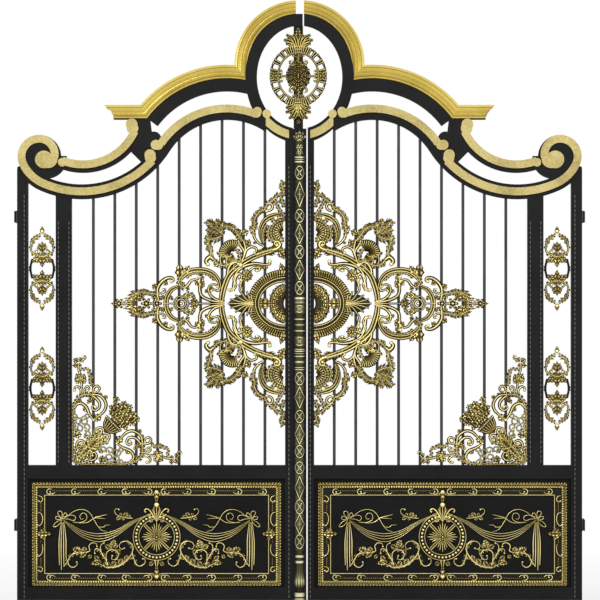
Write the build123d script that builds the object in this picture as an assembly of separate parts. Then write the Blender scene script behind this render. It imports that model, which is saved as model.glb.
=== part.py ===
from build123d import *
import os
from math import atan2, cos, degrees, hypot, radians, sin, sqrt

# Double-leaf driveway gate with a scrolled crest, millimetres.
# Drawn in front view: x to the right from the gate's centre line, y up from
# the foot of the leaves, z towards the viewer. The last lines turn it so that
# z is up, and put the origin on the wall face of the lower left hinge.

# Leaves and frame
half_width = 1800.0
stile_width = 70.0
pilaster_gap = 176.0
pilaster_width = 102.0
meeting_reach = 92.5
column_half_width = 43.5
seam_gap = 8.0
frame_depth = 60.0
bottom_rail_height = 83.0
middle_rail_base = 775.0
middle_rail_height = 86.0
crest_base = 2556.0

# Crest rail and its gold strips
crest_depth = 40.0
strip_width = 50.0
strip_thickness = 12.0
sweep_lip = 25.0
sweep_top_lip = 20.0
arch_lip = 47.0
tendril_lip = 29.0
ledge_lip = 8.0
shoulder_rail_width = 83.0
oval_ring_width = 73.0
oval_foot_width = 90.0
crown_end = 20.0
cornice_notch = 24.0
cornice_height = 85.0
cornice_base_depth = 56.0
cornice_middle_depth = 72.0
cornice_top_depth = 90.0
cornice_overhang = 55.0
cornice_step_shares = ((0, 0.34, 0), (0.34, 0.68, 0.5), (0.68, 1.0, 1.0))

# Shapes of the crest, as shares of half_width, and directions in degrees
sweep_centre_shares = (-0.7711, 0.3685)
sweep_radius_share = 0.3409
arch_centre_shares = (-0.2573, 0.0400)
shoulder_centre_shares = (-0.2573, 0.0755)
shoulder_radius_share = 0.3526
crown_height_share = 0.4741
crown_radius_share = 0.1825
oval_height_share = 0.4327
oval_axis_shares = (0.1513, 0.1825)
tendril_centre_shares = (-0.7675, 0.3253)
tendril_radius_share = 0.2020
ledge_end_share = -0.6584
volute_steps_shares = ((0.1417, -40.7), (0.0627, -115.8), (0.0549, -90.0), (0.0330, -55.0))
eye_centre_shares = (-0.9052, 0.1407)
eye_radius_share = 0.0312
volute_back_shares = (-0.8969, 0.1446, 0.0719)
volute_back_top_share = 0.1534
eye_root_shares = (-0.8894, 0.1432, 0.0330)
eye_root_top_share = 0.1510
ring_blend_share = 0.055
oval_strip_shares = (0.79, 0.33)
knob_shares = (-0.5160, 0.2137, 0.0262)
knob_web_shares = (
    (-0.5904, 0.2824), (-0.5301, 0.2916), (-0.5230, 0.2349), (-0.4840, 0.2066),
    (-0.4840, 0.1463), (-0.5620, 0.1322), (-0.5975, 0.1676),
)
strip_ball_shares = (
    (-0.5294, 0.1566, 0.0198), (-0.5280, 0.1463, 0.0195), (-0.5092, 0.1924, 0.0177),
    (-0.4996, 0.1910, 0.0163), (-0.1495, 0.3111, 0.0156), (-0.1520, 0.3044, 0.0160),
    (-0.5943, 0.2647, 0.0209), (-0.5911, 0.2509, 0.0206), (-0.8398, 0.1308, 0.0153),
    (-0.1162, 0.3026, 0.0152),
)

# Directions in degrees where the crest's curves start and end
ledge_angle = 143.3
volute_angle = -113.5
sweep_end_angle = -43.0
arch_strip_angles = (68, 146)
arch_rail_angle = 57
shoulder_rail_angle = 76
shoulder_cornice_angle = 78
crown_cornice_angles = (88, 191)
tendril_rail_angles = (-114, -12)
tendril_strip_angles = (-111, -25)

# Bars and panel
bar_count = 9
bar_pitch_share = 0.1006
bar_diameter = 19.0
sheet_thickness = 6.0
sheet_front = 8.0
panel_reveal = 22.0
panel_foot_reveal = 4.0
rope_width = 41.0
rope_height = 20.0
channel_width = 38.0
channel_height = 6.0
fillet_width = 11.0
fillet_height = 12.0
relief_height = 10.0
relief_width = 26.0
boss_height = 8.0

# Column and the bar through the oval
column_radius = 33.0
column_bar_depth = 44.0
oval_bar_left = 38.0
oval_bar_right = 22.0
oval_bar_depth = 30.0
column_seat = 1.0

# Castings
casting_thickness = 16.0
casting_width = 26.0
casting_centre = 1891.0
centre_reach_share = 0.807
corner_reach = 690.0
pilaster_casting_height = 542.0
pilaster_centre_shares = (0.288, 0.739)
medallion_height = 590.0
medallion_thickness = 18.0

# Hinges
hinge_gap = 19.0
hinge_height = 72.0
hinge_setback = 15.0
hinge_upper_centre = 2444.0
hinge_lower_centre = 478.0
hinge_plate_thickness = 6.0
hinge_plate_margin = 2.0
knuckle_radius = 9.0
knuckle_gap = 1.0
pin_radius = 5.0
pin_play = 0.05
pin_head_radius = 8.0
pin_head_height = 4.0
pin_tail = 3.0

half_frame = frame_depth / 2
half_crest = crest_depth / 2
half_strip = strip_width / 2


def spot(shares):
    """A place on the crest from its shares of the half width."""
    return shares[0] * half_width, crest_base + shares[1] * half_width


def turned(centre, radius, angle):
    """The point on a circle in a direction given in degrees."""
    return centre[0] + radius * cos(radians(angle)), centre[1] + radius * sin(radians(angle))


def arc(centre, radius, start, sweep):
    return ThreePointArc(
        turned(centre, radius, start),
        turned(centre, radius, start + sweep / 2),
        turned(centre, radius, start + sweep),
    )


def sector(centre, inner, outer, start, sweep):
    """A curved band about a centre."""
    near = arc(centre, inner, start, sweep)
    far = arc(centre, outer, start, sweep)
    return make_face([near, Line(near @ 1, far @ 1), far, Line(far @ 0, near @ 0)])


def band(centre, inner, outer, angles):
    """A curved band between two directions."""
    return sector(centre, inner, outer, angles[0], angles[1] - angles[0])


def tangent_arcs(centre, start, steps):
    """Arcs that run on from each other: each step is a radius and a sweep in degrees."""
    arcs = []
    for radius, sweep in steps:
        if arcs:
            centre = turned(centre, arcs[-1][1] - radius, start)
        arcs.append((centre, radius, start, sweep))
        start += sweep
    return arcs


def scroll(arcs, width):
    """A strip of one width along a run of tangent arcs."""
    near = [arc(c, r - width / 2, a, s) for c, r, a, s in arcs]
    far = [arc(c, r + width / 2, a, s) for c, r, a, s in arcs]
    ends = [Line(near[0] @ 0, far[0] @ 0), Line(near[-1] @ 1, far[-1] @ 1)]
    return make_face(near + far + ends)


def disc(x, y, radius):
    return Pos(x, y) * Circle(radius)


def oval(x, y, across, up):
    return Pos(x, y) * Ellipse(across, up)


def area(x0, x1, y0, y1):
    return Pos((x0 + x1) / 2, (y0 + y1) / 2) * Rectangle(x1 - x0, y1 - y0)


def leaf_shape(x0, y0, x1, y1, half):
    """A pointed leaf between two tips, with the given half width."""
    length = hypot(x1 - x0, y1 - y0)
    across = ((y0 - y1) / length * half, (x1 - x0) / length * half)
    middle = ((x0 + x1) / 2, (y0 + y1) / 2)
    left = ThreePointArc((x0, y0), (middle[0] + across[0], middle[1] + across[1]), (x1, y1))
    right = ThreePointArc((x0, y0), (middle[0] - across[0], middle[1] - across[1]), (x1, y1))
    return make_face([left, right])


def slab(face, back, front):
    """A flat plate between two distances towards the viewer."""
    return Pos(0, 0, back) * extrude(face, front - back)


def block(x0, x1, y0, y1, z0, z1):
    return Pos((x0 + x1) / 2, (y0 + y1) / 2, (z0 + z1) / 2) * Box(x1 - x0, y1 - y0, z1 - z0)


def upright(x, z, radius, y0, y1):
    """A round bar that stands along y."""
    along = (Align.CENTER, Align.CENTER, Align.MIN)
    return Pos(x, y0, z) * Rot(-90, 0, 0) * Cylinder(radius, y1 - y0, align=along)


def tracery(bows, discs, leaves, unit, width, axis):
    """Scroll bands, balls and leaves from tables of shares, with a mirrored copy about an axis."""
    faces = []
    for x, y, radius, start, sweep in bows:
        middle = radius * unit
        faces.append(sector((x * unit, y * unit), middle - width / 2, middle + width / 2, start, sweep))
    for x, y, radius in discs:
        faces.append(disc(x * unit, y * unit, radius * unit))
    for x0, y0, x1, y1, half in leaves:
        faces.append(leaf_shape(x0 * unit, y0 * unit, x1 * unit, y1 * unit, half * unit))
    if axis is not None:
        faces += [mirror(face, about=axis) for face in faces]
    return Sketch() + faces


# Curves of the crest that several pieces follow
sweep_centre = spot(sweep_centre_shares)
sweep_radius = sweep_radius_share * half_width
sweep_under = sweep_radius + half_strip + sweep_lip
arch_centre = spot(arch_centre_shares)
to_arch = (arch_centre[0] - sweep_centre[0], arch_centre[1] - sweep_centre[1])
meet_angle = degrees(atan2(to_arch[1], to_arch[0]))
arch_under = hypot(to_arch[0], to_arch[1]) - sweep_under
arch_radius = arch_under + arch_lip + half_strip
shoulder_centre = spot(shoulder_centre_shares)
shoulder_radius = shoulder_radius_share * half_width
crown_centre = (0, crest_base + crown_height_share * half_width)
crown_radius = crown_radius_share * half_width
oval_y = crest_base + oval_height_share * half_width
oval_across = oval_axis_shares[0] * half_width
oval_up = oval_axis_shares[1] * half_width
tendril_centre = spot(tendril_centre_shares)
tendril_radius = tendril_radius_share * half_width
ledge_y = turned(shoulder_centre, shoulder_radius, ledge_angle)[1]
volute_steps = [(radius * half_width, sweep) for radius, sweep in volute_steps_shares]
volute_first = turned(sweep_centre, sweep_radius - volute_steps[0][0], volute_angle)
volute_arcs = tangent_arcs(volute_first, volute_angle, volute_steps)


def crest_under(x):
    """Height of the crest's S-shaped underside at a place across."""
    split = turned(sweep_centre, sweep_under, meet_angle)[0]
    if x <= split:
        return sweep_centre[1] - sqrt(max(sweep_under**2 - (x - sweep_centre[0]) ** 2, 0))
    return arch_centre[1] + sqrt(max(arch_under**2 - (x - arch_centre[0]) ** 2, 0))


def oval_ring():
    """The outline of the oval ring, up to where the crown's circle takes over."""
    outline = oval(0, oval_y, oval_across + oval_ring_width, oval_up + oval_foot_width)
    top = crown_centre[1] + ring_blend_share * half_width
    return outline & area(-half_width, half_width, crest_base, top)


def cornice_face(low, high, overhang, end):
    """The gold cornice between two heights over its foot: crown arch, shoulder and ledge."""
    crown = band(crown_centre, crown_radius + low, crown_radius + high, crown_cornice_angles)
    turn = (shoulder_cornice_angle, ledge_angle)
    shoulder = band(shoulder_centre, shoulder_radius + low, shoulder_radius + high, turn)
    inner = turned(shoulder_centre, shoulder_radius, ledge_angle)[0]
    ledge = area(ledge_end_share * half_width - overhang, inner, ledge_y + low, ledge_y + high)
    keep = area(-half_width, end, crest_base, crest_base + half_width)
    return ((crown + shoulder + ledge) & keep) - oval_ring()


def crest_face(crown_limit, foot_limit, cornice_end):
    """The black crest rail: S-sweep, arch, shoulder, oval ring, tendril and volute."""
    sweep_inner = sweep_radius - half_strip - sweep_top_lip
    shoulder_inner = shoulder_radius - shoulder_rail_width
    tendril_under = tendril_radius + half_strip + tendril_lip
    ledge_start = ledge_end_share * half_width
    ledge_inner = turned(shoulder_centre, shoulder_radius, ledge_angle)[0]
    volute_top = crest_base + volute_back_top_share * half_width
    volute_back = disc(*spot(volute_back_shares), volute_back_shares[2] * half_width)
    faces = [
        band(sweep_centre, sweep_inner, sweep_under, (volute_angle, meet_angle)),
        band(arch_centre, arch_under, arch_radius + half_strip, (arch_rail_angle, 180 + meet_angle)),
        band(shoulder_centre, shoulder_inner, shoulder_radius, (shoulder_rail_angle, ledge_angle)),
        band(tendril_centre, tendril_radius - half_strip, tendril_under, tendril_rail_angles),
        scroll(volute_arcs[:1], strip_width + sweep_lip * 2),
        disc(volute_arcs[1][0][0], volute_arcs[1][0][1], volute_arcs[1][1] + half_strip),
        volute_back & area(-half_width, 0, crest_base, volute_top),
        area(ledge_start, ledge_inner, ledge_y - ledge_lip, ledge_y),
        disc(*spot(knob_shares), knob_shares[2] * half_width),
        make_face(Polyline(*[spot(shares) for shares in knob_web_shares], close=True)),
        oval_ring(),
        disc(0, crown_centre[1], crown_radius),
    ]
    plate = (Sketch() + faces) & area(-half_width, half_width, 0, crest_base + half_width)
    plate -= oval(0, oval_y, oval_across, oval_up)
    plate -= area(crown_limit, half_width, crest_base, crest_base + half_width)
    plate -= area(foot_limit, half_width, crest_base, oval_y)
    return plate - cornice_face(0, cornice_height, cornice_overhang, cornice_end)


def strip_face(foot_limit, cornice_end):
    """Gold strips: S-sweep with its volute, arch, tendril and oval foot, all with ball ends."""
    run = [(sweep_centre, sweep_radius, sweep_end_angle, volute_angle - sweep_end_angle)] + volute_arcs
    outer = sweep_top_lip + strip_width
    oval_foot = oval(0, oval_y, oval_across + outer, oval_up + outer)
    oval_foot -= oval(0, oval_y, oval_across + sweep_top_lip, oval_up + sweep_top_lip)
    low, high = oval_strip_shares
    oval_foot &= area(-oval_across * low, -foot_limit, crest_base, oval_y - oval_up * high)
    root_top = crest_base + eye_root_top_share * half_width
    eye_root = disc(*spot(eye_root_shares), eye_root_shares[2] * half_width)
    faces = [
        scroll(run, strip_width),
        eye_root & area(-half_width, 0, crest_base, root_top),
        band(arch_centre, arch_radius - half_strip, arch_radius + half_strip, arch_strip_angles),
        band(tendril_centre, tendril_radius - half_strip, tendril_radius + half_strip, tendril_strip_angles),
        oval_foot,
        disc(*spot(eye_centre_shares), eye_radius_share * half_width),
    ]
    for x, y, radius in strip_ball_shares:
        faces.append(disc(*spot((x, y)), radius * half_width))
    return (Sketch() + faces) - cornice_face(0, cornice_height, cornice_overhang, cornice_end)


# Castings, as shares of their reach: bows (centre, radius, start, sweep), balls and leaves
centre_bows_shares = (
    (-0.076, 0, 0.294, 180, -96), (-0.029, 0.407, 0.110, 100, 160), (0.012, 0.424, 0.221, 215, -115),
    (-0.323, 0.308, 0.099, -26, 304), (-0.494, 0.084, 0.110, 10, 180), (-0.599, 0, 0.093, 90, 90),
    (-0.680, 0.076, 0.070, 240, -150), (-0.163, 0.128, 0.122, 135, -75), (-0.203, 0.110, 0.122, 125, 75),
    (-0.814, 0, 0.058, 0, 180), (0, 0, 0.183, 90, 90),
)
centre_discs_shares = (
    (-0.221, 0.169, 0.041), (-0.255, 0.221, 0.030), (-0.052, 0.328, 0.040), (-0.323, 0.308, 0.067),
    (-0.029, 0.390, 0.076), (-0.099, 0.238, 0.020), (-0.320, 0.070, 0.020), (-0.690, 0.146, 0.022),
    (-0.605, 0, 0.040), (-0.740, 0, 0.034), (-0.438, 0.252, 0.026), (-0.245, 0.400, 0.026), (0, 0, 0.090),
)
centre_leaves_shares = (
    (-0.150, 0, -0.400, 0, 0.045), (-0.340, 0.330, -0.471, 0.488, 0.050),
    (-0.017, 0.610, -0.017, 0.724, 0.026),
    (-0.580, 0.120, -0.616, 0.244, 0.028), (-0.350, 0, -0.640, 0, 0.022), (-0.850, 0, -1.000, 0, 0.030),
    (-0.012, 0.440, -0.012, 0.680, 0.030), (-0.060, 0, -0.180, 0, 0.030),
    (-0.012, 0.060, -0.012, 0.190, 0.024),
    (-0.680, 0, -0.780, 0, 0.018), (-0.430, -0.012, -0.560, 0.180, 0.024),
    (-0.250, 0.212, -0.330, 0.320, 0.030),
    (-0.012, 0.150, -0.012, 0.345, 0.020),
)
centre_boss_shares = ((-0.323, 0.308, 0.050), (-0.323, -0.308, 0.050), (-0.605, 0, 0.028), (-0.740, 0, 0.024))
corner_bows_shares = (
    (0.200, 0.540, 0.125, -70, 300), (0.080, 0.700, 0.090, -90, 180), (0.085, 0.225, 0.075, -60, 300),
    (0.330, 0.760, 0.250, 190, 55),
)
corner_discs_shares = (
    (0.210, 0.530, 0.050), (0.085, 0.815, 0.060), (0.085, 0.405, 0.074), (0.330, 0.575, 0.030),
    (0.220, 0.680, 0.030),
)
corner_leaves_shares = (
    (0.085, 0.740, 0.085, 0.990, 0.035), (0.020, 0.900, 0.160, 0.940, 0.025),
    (0.024, 0.100, 0.030, 0.720, 0.024),
    (0.050, 0.180, 0.220, 0.420, 0.030), (0.200, 0.400, 0.400, 0.400, 0.040),
    (0.300, 0.540, 0.440, 0.520, 0.030),
)
corner_spine_shares = ((0.020, 0.020, 0.360, 0.360, 0.050), (0.280, 0.280, 0.470, 0.470, 0.085))
corner_flower_shares = (0.490, 0.490, 0.112)
corner_boss_shares = ((0.490, 0.490, 0.080), (0.085, 0.405, 0.050), (0.405, 0.085, 0.050))
pilaster_bows_shares = (
    (0.072, 0.270, 0.085, -60, 250), (0, 0, 0.140, 0, 180), (0.110, 0.140, 0.070, 60, 200),
)
pilaster_discs_shares = ((0.055, 0.245, 0.030), (0, 0.180, 0.070), (0, 0, 0.045))
pilaster_leaves_shares = (
    (0, 0.300, 0, 0.500, 0.035), (0, 0.200, 0, 0.380, 0.050), (0, 0, 0, 0.190, 0.030),
    (0.060, 0, 0.164, 0, 0.028),
    (0, 0, 0.100, 0, 0.028),
)
medallion_discs_shares = ((0, 0.270, 0.062), (0.115, 0.280, 0.040), (0.275, 0, 0.034), (0.218, 0.180, 0.032))
medallion_leaves_shares = (
    (0, 0.240, 0, 0.545, 0.060), (0, 0.300, 0.110, 0.440, 0.040), (0, 0.300, 0.170, 0.330, 0.040),
    (0.090, 0, 0.260, 0, 0.040), (0, 0.120, 0, 0.320, 0.040),
)
medallion_ring_shares = (0.255, 0.300, 0.185, 0.225)
medallion_boss_shares = (0.110, 0.150)
relief_bows_shares = (
    (-0.530, 0.350, 0.390, 217, 108), (-0.410, -0.140, 0.090, -60, 290), (-0.300, -0.110, 0.072, 130, 280),
    (-0.640, -0.060, 0.200, 230, 100), (-0.270, 0.215, 0.080, 20, 200),
)
relief_discs_shares = (
    (-0.410, -0.140, 0.040), (-0.300, -0.110, 0.034), (-0.880, 0.185, 0.050), (-0.770, -0.205, 0.040),
    (-0.150, -0.260, 0.030), (-0.180, 0.200, 0.034), (-0.845, 0.075, 0.040), (-0.665, 0.180, 0.048),
)
relief_leaves_shares = (
    (-0.860, 0.150, -0.860, -0.310, 0.040), (-0.860, 0.190, -0.640, 0.190, 0.030),
    (-0.640, 0.190, -0.450, 0.200, 0.024),
    (-0.640, 0.170, -0.450, 0.070, 0.024), (-0.840, -0.270, -0.560, -0.220, 0.030),
    (-0.620, -0.170, -0.640, -0.040, 0.040),
    (-0.360, -0.220, -0.130, -0.270, 0.024), (-0.400, -0.080, -0.420, 0.010, 0.030),
    (0, 0.130, 0, 0.300, 0.050),
    (0, 0.150, -0.130, 0.250, 0.036), (0, -0.160, 0, -0.270, 0.032),
    (-0.640, -0.226, -0.330, -0.180, 0.024),
    (-0.800, 0.210, -0.890, 0.280, 0.030), (-0.320, 0.230, -0.160, 0.190, 0.030),
)
relief_medal_shares = (0, 0, 0.205)
relief_boss_share = 0.140
column_profile_shares = (
    (0, 1.0), (0.015, 1.0), (0.015, 0.92), (0.030, 0.96), (0.046, 1.0), (0.048, 0.74),
    (0.076, 0.60), (0.078, 0.92),
    (0.098, 0.96), (0.100, 0.88), (0.488, 0.88), (0.490, 1.0), (0.497, 1.0), (0.500, 0.66), (0.512, 0.66),
    (0.514, 1.0), (0.530, 1.0), (0.532, 0.90), (0.562, 0.90), (0.564, 1.0), (0.578, 1.0),
    (0.580, 0.66), (0.592, 0.66),
    (0.594, 1.0), (0.604, 1.0), (0.606, 0.90), (0.628, 0.90), (0.630, 1.0), (0.646, 1.0),
    (0.648, 0.88), (0.926, 0.88),
    (0.928, 1.0), (0.944, 1.0), (0.946, 0.80), (0.962, 0.92), (0.978, 1.0), (0.980, 0.62), (1.0, 0.40),
)

foot_left = -half_width + stile_width
post_left = foot_left + pilaster_gap
post_right = post_left + pilaster_width
field_right = -meeting_reach
rail_top = middle_rail_base + middle_rail_height
bar_front = bar_diameter / 2
hinge_axis_x = -half_width - hinge_gap / 2
hinge_axis_z = -half_frame - hinge_setback
wall_x = -half_width - hinge_gap


def hinge_pair(outer, inner, spans):
    """Two plates, each with the knuckles that lie in the given spans of its height."""
    pair = []
    for centre in (hinge_lower_centre, hinge_upper_centre):
        foot = centre - hinge_height / 2
        front = half_frame - hinge_plate_margin
        plate = block(outer, inner, foot, foot + hinge_height, -half_frame, front)
        for low, high in spans:
            plate += upright(hinge_axis_x, hinge_axis_z, knuckle_radius, foot + low, foot + high)
            plate += block(outer, inner, foot + low, foot + high, hinge_axis_z, -half_frame)
        for low, high in spans:
            plate -= upright(hinge_axis_x, hinge_axis_z, pin_radius + pin_play, foot + low, foot + high)
        pair.append(plate)
    return pair


def pins():
    pair = []
    for centre in (hinge_lower_centre, hinge_upper_centre):
        foot = centre - hinge_height / 2
        shank = upright(hinge_axis_x, hinge_axis_z, pin_radius, foot - pin_tail, foot + hinge_height)
        top = foot + hinge_height
        pair.append(shank + upright(hinge_axis_x, hinge_axis_z, pin_head_radius, top, top + pin_head_height))
    return pair


def leaf(stile_end, crown_limit, cornice_end):
    """One leaf in its left-hand form, as a table of its pieces."""
    pieces = {}
    plate = crest_face(crown_limit, -stile_end, cornice_end)
    crest = slab(plate, -half_crest, half_crest)
    cutter = slab(plate, -half_frame, half_frame)
    pieces["crest_rail"] = crest
    depths = (cornice_base_depth, cornice_middle_depth, cornice_top_depth)
    cornice = None
    for (low, high, reach), depth in zip(cornice_step_shares, depths):
        overhang = reach * cornice_overhang
        face = cornice_face(low * cornice_height, high * cornice_height, overhang, cornice_end)
        layer = slab(face, -depth / 2, depth / 2)
        cornice = layer if cornice is None else cornice + layer
    pieces["cornice"] = cornice
    strips = strip_face(meeting_reach - half_strip, cornice_end)
    pieces["scroll_strips"] = [
        slab(strips, half_crest, half_crest + strip_thickness),
        slab(strips, -half_crest - strip_thickness, -half_crest),
    ]

    turn_centre, turn_radius, turn_start, turn_sweep = volute_arcs[0]
    stile_top = turned(turn_centre, turn_radius + half_strip + sweep_lip, turn_start + turn_sweep)[1]
    pieces["hinge_stile"] = block(-half_width, foot_left, 0, stile_top, -half_frame, half_frame) - cutter
    post_top = crest_base + half_strip
    post = block(post_left, post_right, rail_top, post_top, -half_frame, half_frame)
    pieces["pilaster_post"] = post - cutter
    meet_top = oval_y - oval_up
    pieces["meeting_stile"] = block(field_right, -stile_end, 0, meet_top, -half_frame, half_frame) - cutter
    pieces["bottom_rail"] = block(foot_left, field_right, 0, bottom_rail_height, -half_frame, half_frame)
    pieces["middle_rail"] = block(foot_left, field_right, middle_rail_base, rail_top, -half_frame, half_frame)

    pitch = (field_right - post_right) * bar_pitch_share
    bars = []
    for number in range(1, bar_count + 1):
        x = post_right + pitch * number
        bars.append(upright(x, 0, bar_diameter / 2, rail_top, crest_under(x) + sweep_lip) - cutter)
    pieces["bars"] = bars

    sheet_back = sheet_front - sheet_thickness
    low = bottom_rail_height
    pieces["panel_sheet"] = block(foot_left, field_right, low, middle_rail_base, sheet_back, sheet_front)
    left = foot_left + panel_reveal
    right = field_right - panel_reveal
    low += panel_foot_reveal
    high = middle_rail_base - panel_reveal
    frame = None
    inset = 0
    steps = ((rope_width, rope_height), (channel_width, channel_height), (fillet_width, fillet_height))
    for width, height in steps:
        ring = area(left + inset, right - inset, low + inset, high - inset)
        inset += width
        ring -= area(left + inset, right - inset, low + inset, high - inset)
        step = slab(ring, sheet_front, sheet_front + height)
        frame = step if frame is None else frame + step
    pieces["panel_frame"] = frame

    unit = (right - left) / 2 - inset
    middle = Pos((left + right) / 2, (low + high) / 2, 0)
    relief = tracery(
        relief_bows_shares, relief_discs_shares, relief_leaves_shares, unit, relief_width, Plane.YZ
    )
    relief += disc(0, 0, relief_medal_shares[2] * unit)
    medal = slab(relief, sheet_front, sheet_front + relief_height)
    top = sheet_front + relief_height
    medal += slab(disc(0, 0, relief_boss_share * unit), top, top + boss_height)
    pieces["panel_relief"] = (middle * medal).solids()

    field = -field_right
    reach = (field_right - post_right) * centre_reach_share
    casting = tracery(
        centre_bows_shares, centre_discs_shares, centre_leaves_shares, reach, casting_width, Plane.XZ
    )
    casting &= area(-reach * 2, 0, -reach, reach)
    solid = slab(casting, bar_front, bar_front + casting_thickness)
    top = bar_front + casting_thickness
    for x, y, radius in centre_boss_shares:
        solid += slab(disc(x * reach, y * reach, radius * reach), top, top + boss_height)
    pieces["centre_casting"] = (Pos(-field, casting_centre, 0) * solid).solids()

    half = tracery(
        corner_bows_shares, corner_discs_shares, corner_leaves_shares, corner_reach, casting_width, None
    )
    diagonal = Plane((0, 0, 0), x_dir=(1, 1, 0), z_dir=(1, -1, 0))
    faces = [half, mirror(half, about=diagonal)]
    for shares in corner_spine_shares:
        faces.append(leaf_shape(*[share * corner_reach for share in shares]))
    x, y, radius = corner_flower_shares
    faces.append(disc(x * corner_reach, y * corner_reach, radius * corner_reach))
    casting = (Sketch() + faces) & area(0, corner_reach * 2, 0, corner_reach * 2)
    solid = slab(casting, bar_front, bar_front + casting_thickness)
    for x, y, radius in corner_boss_shares:
        solid += slab(disc(x * corner_reach, y * corner_reach, radius * corner_reach), top, top + boss_height)
    pieces["corner_casting"] = (Pos(post_right, rail_top, 0) * solid).solids()

    tall = pilaster_casting_height
    quarter = tracery(
        pilaster_bows_shares, pilaster_discs_shares, pilaster_leaves_shares, tall, casting_width, Plane.XZ
    )
    casting = quarter + mirror(quarter, about=Plane.YZ)
    casting &= area(-pilaster_gap / 2, pilaster_gap / 2, -tall, tall)
    solid = slab(casting, -casting_thickness / 2, casting_thickness / 2)
    mid_x = foot_left + pilaster_gap / 2
    pieces["pilaster_castings"] = [
        Pos(mid_x, rail_top + share * (crest_base - rail_top), 0) * solid for share in pilaster_centre_shares
    ]

    middle_low = hinge_height / 3
    spans = [(middle_low + knuckle_gap / 2, middle_low * 2 - knuckle_gap / 2)]
    pieces["gate_hinge_plates"] = hinge_pair(-half_width - hinge_plate_thickness, -half_width, spans)
    return pieces


def column():
    """A half-round turned column on the front of its bar."""
    height = oval_y - oval_up - column_seat
    points = [(share * column_radius, rise * height) for rise, share in column_profile_shares]
    outline = make_face(Polyline((0, 0), *points, (0, height), close=True))
    return Rot(0, 180, 0) * revolve(outline, Axis.Y, 180)


def medallion():
    """The pierced oval boss that hangs in the crown's oval."""
    tall = medallion_height
    across, up, hole_across, hole_up = [share * tall for share in medallion_ring_shares]
    ring = oval(0, 0, across, up) - oval(0, 0, hole_across, hole_up)
    quarter = tracery((), medallion_discs_shares, medallion_leaves_shares, tall, casting_width, Plane.YZ)
    face = ring + quarter + mirror(quarter, about=Plane.XZ)
    boss = oval(0, 0, medallion_boss_shares[0] * tall, medallion_boss_shares[1] * tall)
    back = oval_bar_depth / 2
    top = back + medallion_thickness
    solid = slab(face + boss, back, top) + slab(boss, top, top + boss_height)
    return Pos(0, oval_y, 0) * solid


nodes = {}
left_leaf = leaf(column_half_width, crown_end, -cornice_notch)
right_leaf = leaf(column_half_width + seam_gap, -crown_end - seam_gap, -crown_end - seam_gap)
for name, piece in left_leaf.items():
    nodes["left_" + name] = piece
for name, piece in right_leaf.items():
    pieces = piece if isinstance(piece, list) else [piece]
    nodes["right_" + name] = [mirror(each, about=Plane.YZ) for each in pieces]

third = hinge_height / 3
wall_spans = [(0, third - knuckle_gap / 2), (third * 2 + knuckle_gap / 2, hinge_height)]
wall_plates = hinge_pair(wall_x, wall_x + hinge_plate_thickness, wall_spans)
nodes["left_wall_hinge_plates"] = wall_plates
nodes["right_wall_hinge_plates"] = [mirror(each, about=Plane.YZ) for each in wall_plates]
nodes["left_hinge_pins"] = pins()
nodes["right_hinge_pins"] = [mirror(each, about=Plane.YZ) for each in pins()]

bar_half = column_bar_depth / 2
bar_top = oval_y - oval_up
nodes["column_bar"] = block(-column_half_width, column_half_width, 0, bar_top, -bar_half, bar_half)
nodes["centre_column"] = Pos(0, 0, bar_half) * column()
ring_limit = crown_centre[1] + crown_radius
oval_bar = block(-oval_bar_left, oval_bar_right, bar_top, ring_limit, -oval_bar_depth / 2, oval_bar_depth / 2)
inside = slab(oval(0, oval_y, oval_across, oval_up), -half_crest, half_crest)
nodes["oval_bar"] = (oval_bar & inside) - nodes["column_bar"]
nodes["oval_medallion"] = medallion()

os.makedirs("parts", exist_ok=True)
turn = Pos(-wall_x, 0, -hinge_lower_centre) * Rot(90, 0, 0)
for name, piece in nodes.items():
    solids = []
    for each in piece if isinstance(piece, list) else [piece]:
        solids += [turn * solid for solid in each.solids()]
    shape = solids[0] if len(solids) == 1 else Compound(children=solids)
    export_step(shape, os.path.join("parts", name + ".step"))
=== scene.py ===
from collections import namedtuple
from math import acos, atan2, degrees, hypot, radians, sqrt

import bmesh
import bpy
import numpy as np
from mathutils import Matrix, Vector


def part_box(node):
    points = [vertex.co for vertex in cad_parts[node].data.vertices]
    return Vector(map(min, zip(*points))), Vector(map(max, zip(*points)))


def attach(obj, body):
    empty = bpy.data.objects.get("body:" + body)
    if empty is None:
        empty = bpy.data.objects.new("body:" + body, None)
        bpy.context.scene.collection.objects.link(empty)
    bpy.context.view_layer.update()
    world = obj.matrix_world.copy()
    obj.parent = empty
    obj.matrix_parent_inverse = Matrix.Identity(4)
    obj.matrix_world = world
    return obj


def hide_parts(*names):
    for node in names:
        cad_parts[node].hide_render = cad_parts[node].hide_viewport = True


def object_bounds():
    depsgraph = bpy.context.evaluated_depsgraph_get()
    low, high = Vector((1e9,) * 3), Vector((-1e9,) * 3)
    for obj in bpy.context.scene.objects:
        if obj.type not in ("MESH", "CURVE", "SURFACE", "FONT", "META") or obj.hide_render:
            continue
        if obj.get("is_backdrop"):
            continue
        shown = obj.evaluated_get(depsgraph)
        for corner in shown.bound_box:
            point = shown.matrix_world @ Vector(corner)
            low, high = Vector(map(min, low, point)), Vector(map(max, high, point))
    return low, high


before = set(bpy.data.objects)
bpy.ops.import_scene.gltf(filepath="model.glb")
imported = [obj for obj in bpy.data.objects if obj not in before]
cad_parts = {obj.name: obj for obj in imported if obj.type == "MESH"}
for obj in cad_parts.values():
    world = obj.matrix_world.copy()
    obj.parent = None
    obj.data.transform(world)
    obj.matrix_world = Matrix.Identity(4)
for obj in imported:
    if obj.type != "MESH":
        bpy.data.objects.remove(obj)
cad_low, cad_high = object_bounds()

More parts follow.
